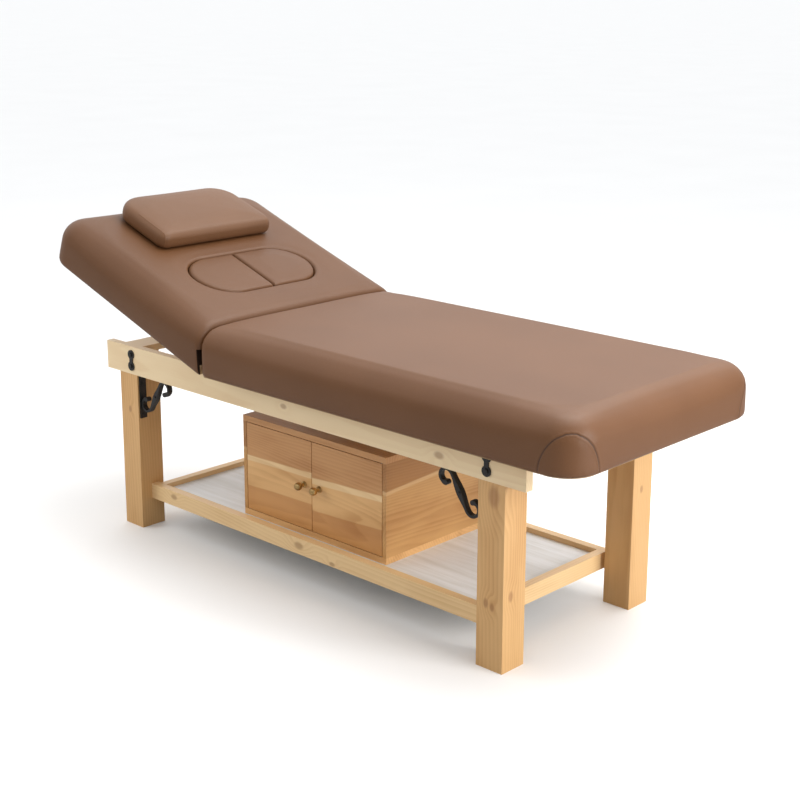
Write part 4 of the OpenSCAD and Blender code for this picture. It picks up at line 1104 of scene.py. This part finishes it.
# The slit's walls get the near-black cover: painted shade in the slit.
back.data.materials.append(slit_shade)
SLIT_SHADE_SLOT = len(back.data.materials) - 1
print("cover slots:", [slot.name if slot else None for slot in back.data.materials])
for face in back.data.polygons:
    inside = face.center.x > HINGE.x - SLIT_WIDTH - NEAR and face.center.z < SLIT_TOP + NEAR
    if inside and abs(face.center.y) > seat_high.y - SLIT_DEPTH - NEAR and abs(face.normal.y) < SIDEWAYS:
        face.material_index = SLIT_SHADE_SLOT
make_active(back)
bpy.ops.object.shade_smooth_by_angle(angle=SHARP_FROM)
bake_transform(back)
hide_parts("backrest_mattress")
print("backrest cover:", len(back.data.polygons), "faces")

# %% [markdown]
# ## Plugs and pillow
# The two plugs and the pillow already have their true outline in the CAD model, so a merged copy
# of that mesh is the block, and the same stuffing softens it. The plugs swell only at the top,
# because their sides touch the opening.

# %% Plugs
def along_normal(p):
    """Height above the hinge, measured square to the raised backrest."""
    return (p - HINGE).dot(Vector((math.sin(TILT), 0, math.cos(TILT))))


def copy_of(node, name, material):
    """A merged copy of a CAD node's mesh, in a new object."""
    piece = bpy.data.objects.new(name, nodes[node].data.copy())
    bpy.context.scene.collection.objects.link(piece)
    piece.data.name = name
    piece.data.materials.clear()
    piece.data.materials.append(material)
    make_active(piece)
    bpy.ops.object.mode_set(mode="EDIT")
    bpy.ops.mesh.select_all(action="SELECT")
    bpy.ops.mesh.remove_doubles(threshold=NEAR)
    bpy.ops.object.mode_set(mode="OBJECT")
    return piece


PLUG_TOP = THICKNESS - AXIS_HEIGHT
PLUG_SQUARES, PLUG_SWELL, PLUG_HELD = 3.6 * MM, 2.5 * MM, 4 * MM
for node in ("plug_front", "plug_back"):
    # The plugs wear the backrest's darker cover, with the same painted shade.
    plug = copy_of(node, node + "_cover", shaded_back_cover)
    stuff(plug, PLUG_SQUARES, PLUG_SWELL, lambda p: along_normal(p) < PLUG_TOP - PLUG_HELD, evening=10)
    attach(plug, node)
    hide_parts(node)

# %% [markdown]
# ## The pillow
# The pillow is a small cushion that lies on the backrest, so its lowest part is held. Its side
# panels meet the top in a slight ridge, which runs forward along each side and down the front
# corner. The ridge is sewn like the other seams, but it stands up.

# %% Pillow
PILLOW_SQUARES, PILLOW_SWELL, PILLOW_HELD = 4 * MM, 4 * MM, 8 * MM
RIDGE, RIDGE_SPACING = 0.7 * MM, 6 * MM
pillow = copy_of("pillow", "pillow_cover", pillow_cover)
stuff(pillow, PILLOW_SQUARES, PILLOW_SWELL, lambda p: along_normal(p) < PLUG_TOP + PILLOW_HELD, evening=2)


def flat_place(x, y, height):
    """A point given as the backrest lies flat, turned to where it rests."""
    return HINGE + Matrix.Rotation(TILT, 3, "Y") @ Vector((x, y, height))


PILLOW_NEAR, PILLOW_HALF = -396 * MM, 195 * MM
RIDGE_LINE = [(-130, -8, 54), (-90, -7, 53), (-50, -7, 52), (-20, -8, 51),
              (-9, -10, 47), (-4, -9, 36), (-2, -8, 22), (-1, -8, 8)]
for side in (-1, 1):
    path = [flat_place(PILLOW_NEAR + x * MM, side * (PILLOW_HALF + y * MM), PLUG_TOP + z * MM)
            for x, y, z in RIDGE_LINE]
    sew(pillow, dense(path, RIDGE_SPACING), -RIDGE, 0, thread_and_shade=0)
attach(pillow, "pillow")
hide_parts("pillow")

# %% [markdown]
# ## The floor's paper
# The floor looks like white paper. It throws back less light than it seems to, so the undersides
# stay dark, as they are in a picture that was cut out and set on white.

# %% Floor material
PAPER_PALE, PAPER_WHITE, PAPER_BOUNCE = (0.86, 0.86, 0.86), (0.90, 0.90, 0.90), (0.45, 0.45, 0.45)
floor_paint, floor_tree, floor_shader = new_material("floor_white", 0.7)
paper = mix_colour(floor_tree, cloudy(floor_tree, object_point(floor_tree), 1.5), PAPER_PALE, PAPER_WHITE)
camera_ray = add_node(floor_tree, "ShaderNodeLightPath").outputs["Is Camera Ray"]
two_colours(floor_tree, floor_shader, camera_ray, PAPER_BOUNCE, paper)
floor.data.materials.append(floor_paint)
